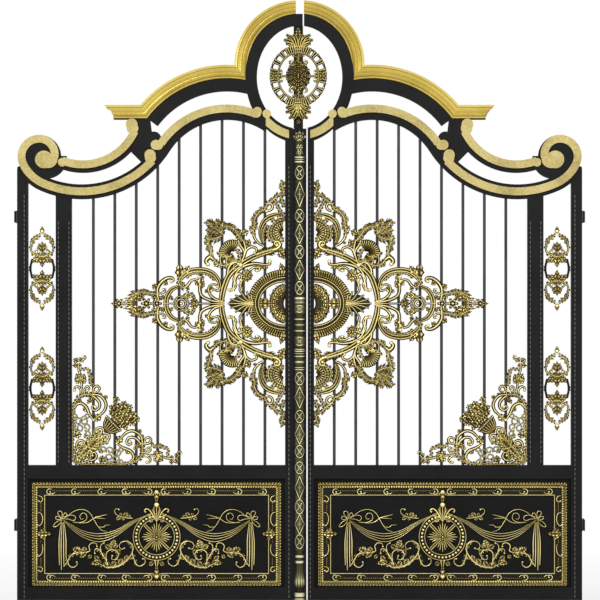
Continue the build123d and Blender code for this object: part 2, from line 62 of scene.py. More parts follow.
# The gate as a whole: two leaves that meet under a round crown. Everything below is drawn in front view,
# in metres: x to the right from the meeting line, y up from the foot of the leaves, z towards the viewer.
gate_x = (cad_low.x + cad_high.x) / 2
foot_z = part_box("left_bottom_rail")[0].z
square = 0.0063785
sides = (("left", 1), ("right", -1))


def gate_box(node):
    """A node's box as drawn: lowest and highest x, y and z."""
    low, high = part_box(node)
    near = np.array([low.x - gate_x, low.z - foot_z, -high.y])
    far = np.array([high.x - gate_x, high.z - foot_z, -low.y])
    return near, far


# Hinge plates and pins: flat steel with welded knuckles, bolted to the piers and to the outer stiles.
# They are blackened and oiled, with a fine grain from rolling.
def linear(red, green, blue):
    """A colour written as it is seen, from 0 to 255, as the shader wants it."""
    seen = np.array([red, green, blue]) / 255
    return (*np.where(seen <= 0.04045, seen / 12.92, ((seen + 0.055) / 1.055) ** 2.4), 1.0)


def set_inputs(node, values):
    """Sets inputs of a shader node by their names."""
    for name, value in values.items():
        node.inputs[name].default_value = value


def patina_grain_and_painted_light_group():
    """Shared mask, high on raised metal and low in recesses, with grain, and a fine height: its relief tones
    are dark patina with painted shade in the recesses and painted highlights on the raised metal.
    """
    tree = bpy.data.node_groups.new("patina_grain_and_painted_light", "ShaderNodeTree")
    for name, value in (("Grain Scale", 60.0), ("Patina And Painted Light Share", 0.0), ("Mottle", 0.3)):
        socket = tree.interface.new_socket(name, in_out="INPUT", socket_type="NodeSocketFloat")
        socket.default_value = value
    for name in ("Mask", "Height"):
        tree.interface.new_socket(name, in_out="OUTPUT", socket_type="NodeSocketFloat")
    nodes, links = tree.nodes, tree.links
    given = nodes.new("NodeGroupInput")
    result = nodes.new("NodeGroupOutput")
    place = nodes.new("ShaderNodeTexCoord")
    fine = nodes.new("ShaderNodeTexNoise")
    set_inputs(fine, {"Detail": 5.0, "Roughness": 0.6})
    broad = nodes.new("ShaderNodeTexNoise")
    set_inputs(broad, {"Scale": 5.0, "Detail": 3.0})
    relief = nodes.new("ShaderNodeAttribute")
    relief.attribute_name = "relief"
    links.new(place.outputs["Object"], fine.inputs["Vector"])
    links.new(place.outputs["Object"], broad.inputs["Vector"])
    links.new(given.outputs["Grain Scale"], fine.inputs["Scale"])

    def sum_node(kind, first, second):
        node = nodes.new("ShaderNodeMath")
        node.operation = kind
        for socket, source in zip(node.inputs, (first, second)):
            if isinstance(source, float):
                socket.default_value = source
            else:
                links.new(source, socket)
        return node.outputs["Value"]

    grain = sum_node("ADD", fine.outputs["Fac"], broad.outputs["Fac"])
    grain = sum_node("SUBTRACT", grain, 1.0)
    grain = sum_node("MULTIPLY", grain, given.outputs["Mottle"])
    # Relief tones: dark patina and painted shade low down, painted highlights on the raised parts.
    depth = sum_node("SUBTRACT", relief.outputs["Fac"], 0.5)
    depth = sum_node("MULTIPLY", depth, given.outputs["Patina And Painted Light Share"])
    total = sum_node("ADD", depth, grain)
    total = sum_node("ADD", total, 0.5)
    links.new(total, result.inputs["Mask"])
    links.new(fine.outputs["Fac"], result.inputs["Height"])
    return tree


patina_grain_and_painted_light = patina_grain_and_painted_light_group()


def finish(name, stops, grain, recess, mottle, rough, metal, specular, bump):
    """A finish whose colour, gloss and metal follow the shared mask of grain, patina and painted light. Stops
    are places and colours.
    """
    material = bpy.data.materials.new(name)
    material.use_nodes = True
    nodes, links = material.node_tree.nodes, material.node_tree.links
    shader = nodes["Principled BSDF"]
    shader.inputs["Specular IOR Level"].default_value = specular
    grain_patina_light = nodes.new("ShaderNodeGroup")
    grain_patina_light.node_tree = patina_grain_and_painted_light
    set_inputs(grain_patina_light, {"Grain Scale": grain, "Patina And Painted Light Share": recess, "Mottle": mottle})
    tint = nodes.new("ShaderNodeValToRGB")
    while len(tint.color_ramp.elements) < len(stops):
        tint.color_ramp.elements.new(0.5)
    for element, (place, colour) in zip(tint.color_ramp.elements, stops):
        element.position = place
        element.color = linear(*colour)
    links.new(grain_patina_light.outputs["Mask"], tint.inputs["Fac"])
    links.new(tint.outputs["Color"], shader.inputs["Base Color"])
    for socket, (low, high) in (("Roughness", rough), ("Metallic", metal)):
        if low == high:
            shader.inputs[socket].default_value = low
            continue
        spread = nodes.new("ShaderNodeMapRange")
        set_inputs(spread, {"From Min": 0.2, "From Max": 0.8, "To Min": low, "To Max": high})
        links.new(grain_patina_light.outputs["Mask"], spread.inputs["Value"])
        links.new(spread.outputs["Result"], shader.inputs[socket])
    dents = nodes.new("ShaderNodeBump")
    set_inputs(dents, {"Strength": bump, "Distance": 0.002})
    links.new(grain_patina_light.outputs["Height"], dents.inputs["Height"])
    links.new(dents.outputs["Normal"], shader.inputs["Normal"])
    return material


def coat(nodes, material):
    """Puts a finish on nodes that keep their own shape."""
    for node in nodes:
        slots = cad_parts[node].data.materials
        slots.clear()
        slots.append(material)


hinge_steel = finish(
    "hinge_steel", ((0.2, (34, 33, 33)), (0.8, (84, 82, 79))),
    240.0, 0.0, 0.8, (0.5, 0.32), (0.6, 0.9), 0.4, 0.3,
)
for side, flip in sides:
    coat([f"{side}_wall_hinge_plates", f"{side}_gate_hinge_plates", f"{side}_hinge_pins"], hinge_steel)


# Stiles, posts, rails and crest: welded steel box and cut plate, under satin charcoal paint.
# Sprayed on, so it has a faint orange peel and dusty patches.
black_paint = finish(
    "black_paint", ((0.15, (14, 14, 15)), (0.85, (32, 31, 30))),
    420.0, 0.0, 0.7, (0.34, 0.5), (0.0, 0.0), 0.12, 0.12,
)
for side, flip in sides:
    for part in ("hinge_stile", "pilaster_post", "meeting_stile", "bottom_rail", "middle_rail", "crest_rail"):
        coat([f"{side}_{part}"], black_paint)
coat(["column_bar", "oval_bar"], black_paint)

# Upright bars: drawn round steel, let into the middle rail and the crest, painted with the frame.
# The brush leaves them a little glossier than the box sections, and their grey, lighter than the frame's, is
# a painted sheen.
# The same paint as the frame, in a lighter grey that paints the sheen of the round bars.
bar_paint_with_painted_sheen = finish(
    "bar_paint_with_painted_sheen", ((0.15, (40, 40, 43)), (0.85, (78, 78, 82))),
    300.0, 0.0, 0.7, (0.28, 0.42), (0.0, 0.0), 0.2, 0.1,
)
coat(["left_bars", "right_bars"], bar_paint_with_painted_sheen)

# Twisted edge strips on the stiles and posts: thin rope-pattern bar, welded to the front face.
# They are painted black with the frame; the grey on their bead tops is a painted glint, in rows of fine dots.
# Sections list across, rise and tone; the tones are dark patina and painted shade at the foot and painted
# highlights on the ridge.
plain_section = (
    (-1.0, 0.2, 0.0), (-0.66, 0.62, 0.05), (-0.34, 0.92, 0.6), (0.0, 1.0, 1.1), (0.34, 0.92, 0.6),
    (0.66, 0.62, 0.05), (1.0, 0.2, 0.0),
)
back_tone = 0.58
back_gap = 0.005
back_turns = 40


def new_piece():
    return {"points": [], "faces": [], "relief": [], "count": 0}


def add_net(piece, net, relief):
    """A closed skin: each row of the net is a loop, and the first and last rows are capped."""
    rows, columns = net.shape[:2]
    index = piece["count"] + np.arange(rows * columns).reshape(rows, columns)
    beside = np.roll(index, -1, axis=1)
    quads = np.stack([index[:-1], beside[:-1], beside[1:], index[1:]], axis=-1)
    piece["points"].append(net.reshape(-1, 3))
    piece["relief"].append(relief.reshape(-1))
    piece["faces"] += quads.reshape(-1, 4).tolist()
    piece["faces"] += [index[0, ::-1].tolist(), index[-1].tolist()]
    piece["count"] += rows * columns


def spread_along(values, share):
    values = np.atleast_1d(np.asarray(values, float))
    return np.interp(share, np.linspace(0, 1, len(values)), values)


def rib(piece, path, width, height, section=plain_section, wave=None, lift=0.0):
    """A raised bar along a path. Wave is a count of beads with their depth, slant, vee and pinch."""
    path = np.asarray(path, float)
    step = np.gradient(path, axis=0)
    step /= np.linalg.norm(step, axis=1)[:, None]
    out = np.stack([step[:, 1], -step[:, 0]], axis=1)
    run = np.concatenate([[0.0], np.cumsum(np.linalg.norm(np.diff(path, axis=0), axis=1))])
    share = run / run[-1]
    across = np.array([-1.0] + [point[0] for point in section] + [1.0])
    rise = np.array([0.0] + [point[1] for point in section] + [0.0])
    tone = np.array([back_tone] + [point[2] for point in section] + [back_tone])
    half = np.repeat(spread_along(width, share)[:, None] / 2, len(across), axis=1)
    tall = np.repeat(spread_along(height, share)[:, None], len(across), axis=1)
    tones = np.repeat(tone[None, :], len(path), axis=0)
    if wave:
        count, depth, slant, vee, pinch = wave
        shift = slant * across + vee * np.abs(across)
        swell = np.abs(np.sin(np.pi * (count * share[:, None] + shift[None, :])))
        tall = tall * (1 - depth * (1 - swell))
        half = half * (1 - pinch * (1 - swell))
        # Bead valleys are painted darker: patina and painted shade between the beads.
        tones[:, 1:-1] *= (0.1 + 0.9 * swell**1.5)[:, 1:-1]
    flat = path[:, None, :] + out[:, None, :] * (half * across[None, :])[:, :, None]
    net = np.concatenate([flat, (lift + tall * rise[None, :])[:, :, None]], axis=2)
    add_net(piece, net, tones)


def part_backs(piece):
    """Sets the flat backs of ribs and leaves a hair apart, so that they shade cleanly where they cross."""
    for number, points in enumerate(piece["points"]):
        points[points[:, 2] == 0, 2] -= back_gap * (number % back_turns)


def set_in_place(piece, scale, x, y, z):
    """Moves a piece from its own drawing to the gate."""
    piece["points"] = [points * scale + np.array([x, y, z]) for points in piece["points"]]


def add_copy(piece, other, moved):
    """Adds the skins of another piece, or its own again, with their points moved."""
    piece["faces"] += [[corner + piece["count"] for corner in face] for face in other["faces"]]
    piece["points"] += [moved(points) for points in other["points"]]
    piece["relief"] += other["relief"]
    piece["count"] += other["count"]


def add_mirror(piece, axis):
    """Adds the piece's mirror image about one of its own axes."""
    flip = np.ones(3)
    flip[axis] = -1.0
    add_copy(piece, piece, lambda points: points * flip)


def make_object(piece, name, body, material, flip=1, smooth_angle=40.0):
    """The piece as an object that rides on its leaf, with its relief kept for the finish."""
    points = np.concatenate(piece["points"])
    seat = np.stack([gate_x + flip * points[:, 0], -points[:, 2], foot_z + points[:, 1]], axis=1)
    mesh = bpy.data.meshes.new(name)
    mesh.from_pydata(seat.tolist(), [], piece["faces"])
    skin = bmesh.new()
    skin.from_mesh(mesh)
    bmesh.ops.recalc_face_normals(skin, faces=skin.faces)
    skin.to_mesh(mesh)
    skin.free()
    relief = mesh.attributes.new("relief", "FLOAT", "POINT")
    relief.data.foreach_set("value", np.concatenate(piece["relief"]).astype(np.float32))
    mesh.polygons.foreach_set("use_smooth", np.ones(len(mesh.polygons), bool))
    mesh.set_sharp_from_angle(angle=radians(smooth_angle))
    mesh.materials.append(material)
    made = bpy.data.objects.new(name, mesh)
    bpy.context.scene.collection.objects.link(made)
    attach(made, body)
    return made


# Black paint whose grey top stop paints the glints on the beads.
strip_paint_and_glints = finish(
    "strip_paint_and_glints", ((0.2, (18, 18, 18)), (0.8, (124, 122, 117))),
    300.0, 1.0, 0.2, (0.3, 0.4), (0.0, 0.0), 0.15, 0.1,
)
strip_width = 0.012
strip_height = 0.006
strip_pitch = 0.030
strip_foot = 0.01
strip_stop = 0.16
rows_per_bead = 4
strip_insets = (("hinge_stile", (0.66,)), ("pilaster_post", (0.17, 0.83)), ("meeting_stile", (0.5,)))
for side, flip in sides:
    strips = new_piece()
    for part, shares in strip_insets:
        low, high = gate_box(f"left_{part}")
        for share in shares:
            x = low[0] + share * (high[0] - low[0])
            top = high[1] - strip_stop
            beads = int((top - low[1]) / strip_pitch)
            rows = np.linspace(low[1] + strip_foot, top, beads * rows_per_bead + 1)
            line = np.stack([np.full(len(rows), x), rows], axis=1)
            rib(strips, line, strip_width, strip_height, wave=(beads, 0.7, 0.25, 0.0, 0.35), lift=high[2])
    make_object(strips, f"{side}_twisted_strips", f"{side}_leaf", strip_paint_and_glints, flip)

# Kick panel sheet: one plate of black steel in each leaf, welded between the rails and the stiles.
# A flat coat, a little rougher than the frame, so that the gilded relief stands out.
sheet_paint = finish(
    "sheet_paint", ((0.15, (10, 10, 11)), (0.85, (26, 25, 24))),
    180.0, 0.0, 0.8, (0.42, 0.6), (0.0, 0.0), 0.1, 0.2,
)
coat(["left_panel_sheet", "right_panel_sheet"], sheet_paint)

# Panel frame: a cast moulding with a rope edge, a dark channel with small scrolls, and a plain inner fillet.
# Brass, with black-brown patina and painted shade in the recesses and painted highlights on the raised beads,
# screwed to the sheet from behind.
# The ramp runs from patina with painted shade up to a near-white painted highlight.
patina_gold = finish(
    "patina_gold",
    ((0.2, (14, 10, 3)), (0.44, (68, 53, 16)), (0.62, (110, 95, 33)), (0.77, (182, 162, 74)),
     (0.88, (255, 240, 170))),
    190.0, 1.0, 0.35, (0.55, 0.35), (0.2, 0.6), 0.3, 0.25,
)


def turn(x, y, radius, end_radius, start, sweep, step=10.0):
    """An arc or a spiral about a place, from a direction through a sweep, in degrees."""
    count = max(5, int(abs(sweep) / step))
    angle = np.radians(np.linspace(start, start + sweep, count + 1))
    reach = np.linspace(radius, end_radius, count + 1)
    return np.stack([x + reach * np.cos(angle), y + reach * np.sin(angle)], axis=1)


def heading(angle):
    """The way that an angle in degrees points."""
    return np.array([np.cos(radians(angle)), np.sin(radians(angle))])


def oval_line(across, up, start, end, count):
    """Stations on an upright oval about the middle, between two angles in degrees."""
    angle = np.radians(np.linspace(start, end, count))
    return np.stack([across * np.cos(angle), up * np.sin(angle)], axis=1)


def smooth_line(points, steps=5):
    """A smooth run through given places."""
    knots = np.array(points, float)
    ends = np.vstack([2 * knots[0] - knots[1], knots, 2 * knots[-1] - knots[-2]])
    line = []
    for before, start, end, after in zip(ends, ends[1:], ends[2:], ends[3:]):
        for t in np.arange(steps) / steps:
            bow = (2 * before - 5 * start + 4 * end - after) * t**2
            twist = (3 * start - before - 3 * end + after) * t**3
            line.append((2 * start + (end - before) * t + bow + twist) / 2)
    line.append(knots[-1])
    return np.array(line)


def dome(piece, x, y, radius, height, columns=14):
    """A round knob with a flat back."""
    angle = np.linspace(0, 2 * np.pi, columns, endpoint=False)
    # The rings' tones paint a highlight on the knob's top and shade round its foot.
    rings = ((1.0, 0.0, back_tone), (1.0, 0.25, 0.1), (0.86, 0.68, 0.7), (0.5, 0.95, 1.0), (0.12, 1.0, 1.0))
    net = np.array([
        [(x + r * radius * np.cos(a), y + r * radius * np.sin(a), z * height) for a in angle]
        for r, z, tone in rings
    ])
    add_net(piece, net, np.repeat(np.array([tone for r, z, tone in rings])[:, None], columns, axis=1))


def moulding(piece, route, profile, wave=None):
    """A moulding along a route that is drawn once for each offset of its profile, so that corners mitre."""
    lines = [route(offset) for offset, rise, tone in profile]
    rows = len(lines[0])
    net = np.zeros((rows, len(profile), 3))
    tones = np.zeros((rows, len(profile)))
    for column, (line, (offset, rise, tone)) in enumerate(zip(lines, profile)):
        net[:, column, :2] = line
        net[:, column, 2] = rise
        tones[:, column] = tone
    if wave is not None:
        beads, low, depth = wave
        swell = 1 - depth * (1 - np.abs(np.sin(np.pi * beads)))
        raised = net[:, :, 2] > low
        net[:, :, 2] = np.where(raised, low + (net[:, :, 2] - low) * swell, net[:, :, 2])
        # The dips between beads are painted darker: patina and painted shade.
        tones = np.where(raised, tones * swell, tones)
    add_net(piece, net, tones)


frame_low, frame_high = gate_box("left_panel_frame")
frame_back = frame_low[2]
rope_width = 0.041
rope_height = 0.020
channel_width = 0.038
fillet_width = 0.008
fillet_height = 0.012
rope_pitch = 0.020
rope_rows = 5


def frame_sides(inset):
    """The corners of the panel frame at an inset, counter-clockwise from the lower left."""
    x0, y0 = frame_low[:2] + inset
    x1, y1 = frame_high[:2] - inset
    return np.array([(x0, y0), (x1, y0), (x1, y1), (x0, y1), (x0, y0)])


def frame_line(inset):
    """Evenly spread stations round the frame, as many for every inset."""
    corners = frame_sides(inset)
    outer = frame_sides(0.0)
    line = []
    for number in range(4):
        length = np.abs(outer[number + 1] - outer[number]).sum()
        share = np.linspace(0, 1, int(length / rope_pitch) * rope_rows + 1)[:, None]
        line.append(corners[number] + share * (corners[number + 1] - corners[number]))
    return np.concatenate(line)


def rope_beads():
    """Bead phases along the frame for the rope, the same at every corner."""
    outer = frame_sides(0.0)
    counts = [int(np.abs(outer[n + 1] - outer[n]).sum() / rope_pitch) for n in range(4)]
    return np.concatenate([np.linspace(0, count, count * rope_rows + 1) for count in counts])


def rope_profile(start, end, top):
    """A half-round between two insets, with a flat foot."""
    # The tones paint shade at the foot of the half-round and a highlight on its crown.
    points = [(start, 0.0, 0.0), (start, 0.25, 0.2)]
    points += [(start + (end - start) * s, r, t) for s, r, t in (
        (0.12, 0.62, 0.5), (0.32, 0.92, 0.9), (0.5, 1.0, 1.0), (0.68, 0.92, 0.9), (0.88, 0.62, 0.5))]
    points += [(end, 0.25, 0.2), (end, 0.0, 0.0)]
    return [(offset, frame_back + rise * top, tone) for offset, rise, tone in points]


panel_frame = new_piece()
bead_start, ridge_start, leaf_start = 0.002, 0.013, 0.020
bead_height, leaf_height = 0.016, 0.015
groove_z = frame_back + 0.004
channel_z = frame_back + 0.003
channel_tone = 0.12
frame_brightness = 1.12
phase = rope_beads()[:, None]
profile = rope_profile(bead_start, ridge_start, bead_height)
moulding(panel_frame, frame_line, profile, (phase + np.zeros(len(profile)), groove_z, 0.7))
moulding(panel_frame, frame_sides, rope_profile(ridge_start, leaf_start, rope_height))
profile = rope_profile(leaf_start, rope_width, leaf_height)
moulding(panel_frame, frame_line, profile,
         (phase * 1.25 + np.linspace(-0.4, 0.4, len(profile)), groove_z, 0.75))
fillet_start = rope_width + channel_width
moulding(panel_frame, frame_sides, rope_profile(fillet_start, fillet_start + fillet_width, fillet_height))
ground = [(rope_width, frame_back, 0.0), (rope_width, channel_z, channel_tone),
          (fillet_start, channel_z, channel_tone), (fillet_start, frame_back, 0.0)]
moulding(panel_frame, frame_sides, ground)
panel_frame["relief"] = [tones * frame_brightness for tones in panel_frame["relief"]]
for side, flip in sides:
    made = make_object(panel_frame, f"{side}_gilt_panel_frame", f"{side}_leaf", patina_gold,
                       flip)
    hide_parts(f"{side}_panel_frame")

# Panel relief: swags, bows, tassels and leaf scrolls round a beaded medal, of cast brass, pinned on.
# Gilt, with painted highlights on the raised parts and dark patina with painted shade between. Places are
# read off a fine drawing, right and down.
# In the shaded sections the tones fall to dark patina and painted shade at the foot and rise to painted
# highlights on the ridges; the dark section is dark all across.
double_section = (
    (-1.0, 0.25, 0.0), (-0.82, 0.75, 0.25), (-0.5, 1.0, 1.0), (-0.2, 0.8, 0.6), (0.0, 0.5, 0.05),
    (0.2, 0.8, 0.6), (0.5, 1.0, 1.0), (0.82, 0.75, 0.25), (1.0, 0.25, 0.0),
)
shell_section = ((-1.0, 0.3, 0.1), (-0.6, 0.6, 0.6), (0.2, 0.9, 0.95), (0.75, 1.0, 1.0), (1.0, 0.45, 0.2))
ground_section = ((-1.0, 0.3, 0.0), (-0.7, 0.9, 0.4), (0.7, 0.9, 0.4), (1.0, 0.3, 0.0))
dark_section = ((-1.0, 0.3, 0.0), (-0.6, 0.9, 0.06), (0.6, 0.9, 0.06), (1.0, 0.3, 0.0))
ring_section = ((-1.0, 0.3, 0.0), (-0.6, 0.8, 1.0), (0.1, 0.9, 0.85), (0.65, 1.0, 1.1), (1.0, 0.45, 0.1))
leaf_rows = 4
# Leaf columns: painted highlights on the lobes, dark patina and painted shade at the edges and in the vein.
leaf_columns = (
    (-1.0, 0.0, 0.0), (-1.0, 0.3, 0.0), (-0.5, 1.0, 0.98), (0.0, 0.72, 0.3), (0.5, 1.0, 0.98),
    (1.0, 0.3, 0.0), (1.0, 0.0, 0.0),
)


def leaf(piece, base, tip, half, height, bend=0.0, lobes=3):
    """A lobed leaf, raised beside a sunken vein. Bend bows it sideways, as a share of its length."""
    base, tip = np.array(base, float), np.array(tip, float)
    length = np.linalg.norm(tip - base)
    aside = np.array([base[1] - tip[1], tip[0] - base[0]]) / length
    middle = (base + tip) / 2 + aside * bend * length * 2
    t = np.linspace(0, 1, lobes * leaf_rows + 1)[:, None]
    spine = (1 - t) ** 2 * base + 2 * t * (1 - t) * middle + t**2 * tip
    step = np.gradient(spine, axis=0)
    step /= np.linalg.norm(step, axis=1)[:, None]
    out = np.stack([step[:, 1], -step[:, 0]], axis=1)
    part = (t[:, 0] * lobes + 0.35) % 1.0
    lobe = np.sin(np.pi * part) ** 0.7
    reach = half * np.maximum(np.sin(np.pi * (0.08 + 0.92 * t[:, 0]) ** 0.8), 0.05) * (0.52 + 0.48 * lobe)
    across, rise, tone = np.array(leaf_columns).T
    lean = np.abs(across)[None, :, None] * step[:, None, :] * half * 0.35 * (1 - t[:, :, None])
    flat = spine[:, None, :] + out[:, None, :] * (reach[:, None] * across[None, :])[:, :, None] + lean
    edge = np.abs(across)[None, :] > 0.4
    tall = height * (0.6 + 0.4 * np.sin(np.pi * t)) * np.where(edge, 0.7 + 0.3 * lobe[:, None], 1.0)
    net = np.concatenate([flat, (tall * rise[None, :])[:, :, None]], axis=2)
    # Lobes are painted bright and the gaps between them dark, as highlight and shade.
    tones = tone[None, :] * np.where(edge, 0.1 + lobe[:, None], 1.0)
    tones[:, [0, -1]] = back_tone
    add_net(piece, net, tones)


def flower(piece, x, y, radius, height, petals):
    """A rosette with petals round a raised core."""
    angle = np.linspace(0, 2 * np.pi, petals * 4, endpoint=False)
    open_part = np.abs(np.cos(petals * angle / 2)) ** 0.6
    # The ring tones paint highlights on the petals and core and shade in the gaps between petals.
    rings = (
        (1.0, 0.0, back_tone, 1), (1.0, 0.25, 0.05, 1), (0.8, 0.62, 0.6, 1), (0.55, 0.75, 1.0, 1),
        (0.36, 0.55, 0.4, 1), (0.3, 0.5, 0.3, 0), (0.22, 0.92, 0.5, 0), (0.08, 1.0, 0.9, 0),
    )
    net, tones = [], []
    for reach, rise, tone, petal in rings:
        cut = (0.5 + 0.5 * open_part) if petal else np.ones_like(angle)
        dip = (0.35 + 0.65 * open_part) if petal else np.ones_like(angle)
        r = radius * reach * cut
        net.append(np.stack([x + r * np.cos(angle), y + r * np.sin(angle), height * rise * dip], axis=1))
        tones.append(tone * dip**2)
    add_net(piece, np.array(net), np.array(tones))


def shell(piece, x, y, inner, outer, start, sweep, height, ribs):
    """A fan of gadroons between two radii."""
    middle = (inner + outer) / 2
    path = turn(x, y, middle, middle, start, sweep, abs(sweep) / (ribs * 5))
    rib(piece, path, outer - inner, height, shell_section, (ribs, 0.6, 0.0, 0.0, 0.08))


Drawing = namedtuple("Drawing", "piece x y fine full")


def plot(drawing, places):
    """Places on a drawing, counted right and down, as squares right and up from its middle."""
    return (np.array(places, float) - (drawing.x, drawing.y)) * (1, -1) / drawing.fine


def stem(drawing, places, width, height, section=plain_section):
    """A smooth rib. Its width, as drawn, is filled out by the drawing's own share."""
    path = smooth_line(plot(drawing, places))
    rib(drawing.piece, path, np.multiply(width, drawing.full), height, section)
    return path


def curl(drawing, places, width, height):
    """A stem that ends in a knob."""
    end = stem(drawing, places, width, height)[-1]
    knob = max(np.atleast_1d(width)[-1] * drawing.full * 0.7, 1.1)
    dome(drawing.piece, end[0], end[1], knob, height * 1.2, columns=10)


def garland(drawing, places, width, height, pitch=3.2):
    """A thin stalk with small leaves that lean forward on its two sides, in turn."""
    line = smooth_line(plot(drawing, places), 6)
    rib(drawing.piece, line, 1.2 * drawing.full, height * 0.8)
    run = np.concatenate([[0.0], np.cumsum(np.linalg.norm(np.diff(line, axis=0), axis=1))])
    count = max(3, int(2 * run[-1] / pitch))
    share = (np.arange(count) + 0.5) / count
    spots = np.stack([np.interp(share * run[-1], run, line[:, k]) for k in (0, 1)], axis=1)
    ahead = np.gradient(spots, axis=0)
    ahead /= np.linalg.norm(ahead, axis=1)[:, None]
    for number, length in enumerate(spread_along(np.multiply(width, drawing.full * 0.7), share)):
        way = 1 if number % 2 else -1
        length *= 1.0 + 0.25 * np.sin(2.4 * number)
        aside = way * np.array([-ahead[number, 1], ahead[number, 0]])
        tip = spots[number] + length * (0.75 * ahead[number] + 0.7 * aside)
        leaf(drawing.piece, spots[number] - 0.8 * ahead[number], tip, pitch * 0.5, height, 0.08 * way, 1)


def fronds(drawing, leaves, height, lobes=3, wide=1.0):
    """Straight leaves, each with the places of its base and its tip and half its width."""
    for base_x, base_y, tip_x, tip_y, half in leaves:
        base, tip = plot(drawing, ((base_x, base_y), (tip_x, tip_y)))
        leaf(drawing.piece, base, tip, half * wide * drawing.full, height, 0.0, lobes)


def rose(drawing, place, radius, height, petals):
    """A flower at a place on a drawing."""
    flower(drawing.piece, *plot(drawing, (place,))[0], radius, height, petals)


relief_low = gate_box("left_panel_relief")[0]
relief_x = (frame_low[0] + frame_high[0]) / 2
relief_y = (frame_low[1] + frame_high[1]) / 2
relief = new_piece()
panel = Drawing(relief, x=1534.0, y=675.0, fine=11.88, full=1.1)
proud = 1.7
for sag in (0, 30, 62, 96):
    swag = [(430, 505 + sag * 0.1), (520, 560 + sag * 0.5), (660, 635 + sag * 0.75), (850, 667 + sag),
            (1040, 630 + sag * 0.75), (1220, 530 + sag * 0.45), (1400, 450 + sag * 0.1)]
    stem(panel, swag, (0.6, 1.3, 1.6, 1.3, 0.6), proud)
for top, foot, tip in ((403, 376, 1040), (413, 400, 1100), (424, 430, 1060), (434, 458, 980)):
    stem(panel, [(top, 530), (foot * 0.6 + top * 0.4, 640), (foot, 760), (foot, 900), (foot + 4, tip)],
         (1.2, 2.0, 2.5, 2.5, 1.8), proud * 1.1)
for loop in (
    [(405, 485), (375, 450), (360, 420), (385, 398), (412, 420), (408, 485)],
    [(400, 490), (360, 500), (335, 485), (345, 462), (380, 470), (405, 490)],
    [(405, 500), (350, 525), (315, 560), (310, 585), (345, 580), (385, 545), (408, 505)],
    [(415, 485), (430, 440), (450, 420), (470, 440), (455, 470), (420, 490)],
    [(430, 470), (500, 447), (555, 455), (572, 485), (545, 512), (490, 495), (430, 490)],
    [(665, 490), (640, 495), (622, 462), (650, 425), (690, 430), (706, 470), (690, 510), (620, 535),
     (540, 530)],
):
    stem(panel, loop, (1.2, 1.5, 1.6, 1.5, 1.2), proud)
rose(panel, (410, 490), 2.4, proud * 1.3, 5)
ribbon = (1.1, 1.4, 1.7, 1.7, 1.0)
stem(panel, [(470, 470), (530, 415), (610, 382), (690, 388), (750, 432), (785, 495), (830, 570), (880, 625),
             (940, 640)], ribbon, proud)
stem(panel, [(560, 530), (640, 540), (720, 530), (800, 478), (870, 458), (945, 440)], ribbon, proud)
stem(panel, [(800, 480), (870, 485), (930, 490)], (1.6, 1.4, 0.8), proud)
stem(panel, [(840, 585), (900, 590), (930, 567), (985, 562)], (1.4, 1.6, 0.8), proud)
curl(panel, [(1250, 485), (1180, 480), (1110, 465), (1055, 440), (1035, 400), (1055, 370), (1085, 380)],
     (1.8, 1.8, 1.4, 1.2), proud)
fronds(panel, (
    (1110, 465, 1048, 502, 1.8), (1140, 470, 1192, 412, 2.0), (1190, 480, 1225, 440, 1.6),
    (1100, 455, 1118, 420, 1.5), (1150, 475, 1120, 510, 1.5), (1500, 470, 1415, 440, 2.6),
    (1500, 490, 1430, 520, 2.2), (640, 890, 532, 836, 3.0), (680, 890, 672, 818, 2.4),
    (700, 890, 615, 955, 2.2), (690, 880, 610, 860, 2.2), (880, 1000, 752, 1022, 2.6),
    (850, 990, 795, 925, 2.2), (900, 1010, 955, 1075, 2.2), (1080, 1035, 1130, 960, 2.4),
    (1000, 1050, 1050, 995, 2.4), (1160, 995, 1190, 915, 2.2), (1000, 840, 1042, 732, 2.8),
    (985, 845, 918, 798, 2.4), (1030, 830, 1075, 800, 1.8), (1255, 920, 1200, 975, 2.0),
    (1100, 900, 1060, 850, 2.0), (760, 920, 720, 960, 1.8), (1500, 1010, 1440, 1040, 2.0),
), proud * 1.1, lobes=4, wide=1.6)
for places in (
    [(1480, 445), (1450, 400), (1420, 365), (1392, 380), (1402, 405)],
    [(430, 1060), (470, 1005), (515, 930), (560, 900), (640, 895)],
    [(480, 990), (495, 1045), (545, 1068), (590, 1035), (585, 1005)],
    [(700, 890), (740, 870), (730, 815), (765, 778), (815, 785), (825, 820)],
    [(960, 1040), (915, 950), (870, 880), (835, 845), (800, 860), (800, 900)],
    [(900, 940), (868, 860), (875, 800), (908, 778)],
    [(930, 1070), (1020, 1068), (1110, 1040), (1190, 975), (1245, 890), (1250, 810), (1200, 762), (1130, 762),
     (1090, 805), (1110, 850), (1150, 840)],
    [(950, 1040), (935, 960), (940, 895), (985, 860), (1050, 870), (1080, 920), (1050, 975), (1000, 965),
     (1008, 930)],
    [(1240, 880), (1262, 960), (1290, 1030), (1340, 1052), (1392, 1020), (1395, 970), (1370, 965)],
):
    curl(panel, places, (1.8, 2.3, 2.3, 1.8, 1.3), proud)
for places, length in (
    ([(950, 1060), (1040, 1055), (1130, 1015), (1200, 945)], 3.6),
    ([(450, 1030), (515, 930), (600, 897), (700, 890)], 3.4),
    ([(960, 1040), (915, 950), (870, 880), (820, 850)], 3.4),
    ([(1000, 860), (1060, 880), (1078, 930), (1040, 972)], 2.8),
    ([(1246, 860), (1225, 785), (1165, 758)], 2.8), ([(1246, 890), (1268, 970), (1300, 1040)], 2.8),
    ([(920, 1060), (850, 1020), (790, 990)], 3.4), ([(985, 860), (1010, 800), (1040, 750)], 3.4),
):
    garland(panel, places, length * 0.9, proud * 1.1, 4.8)
hook = ((30, -30), (-8, -30), (-28, 0), (-10, 30), (20, 22), (12, 2))
tail = ((18, 26), (45, 26), (75, 6))
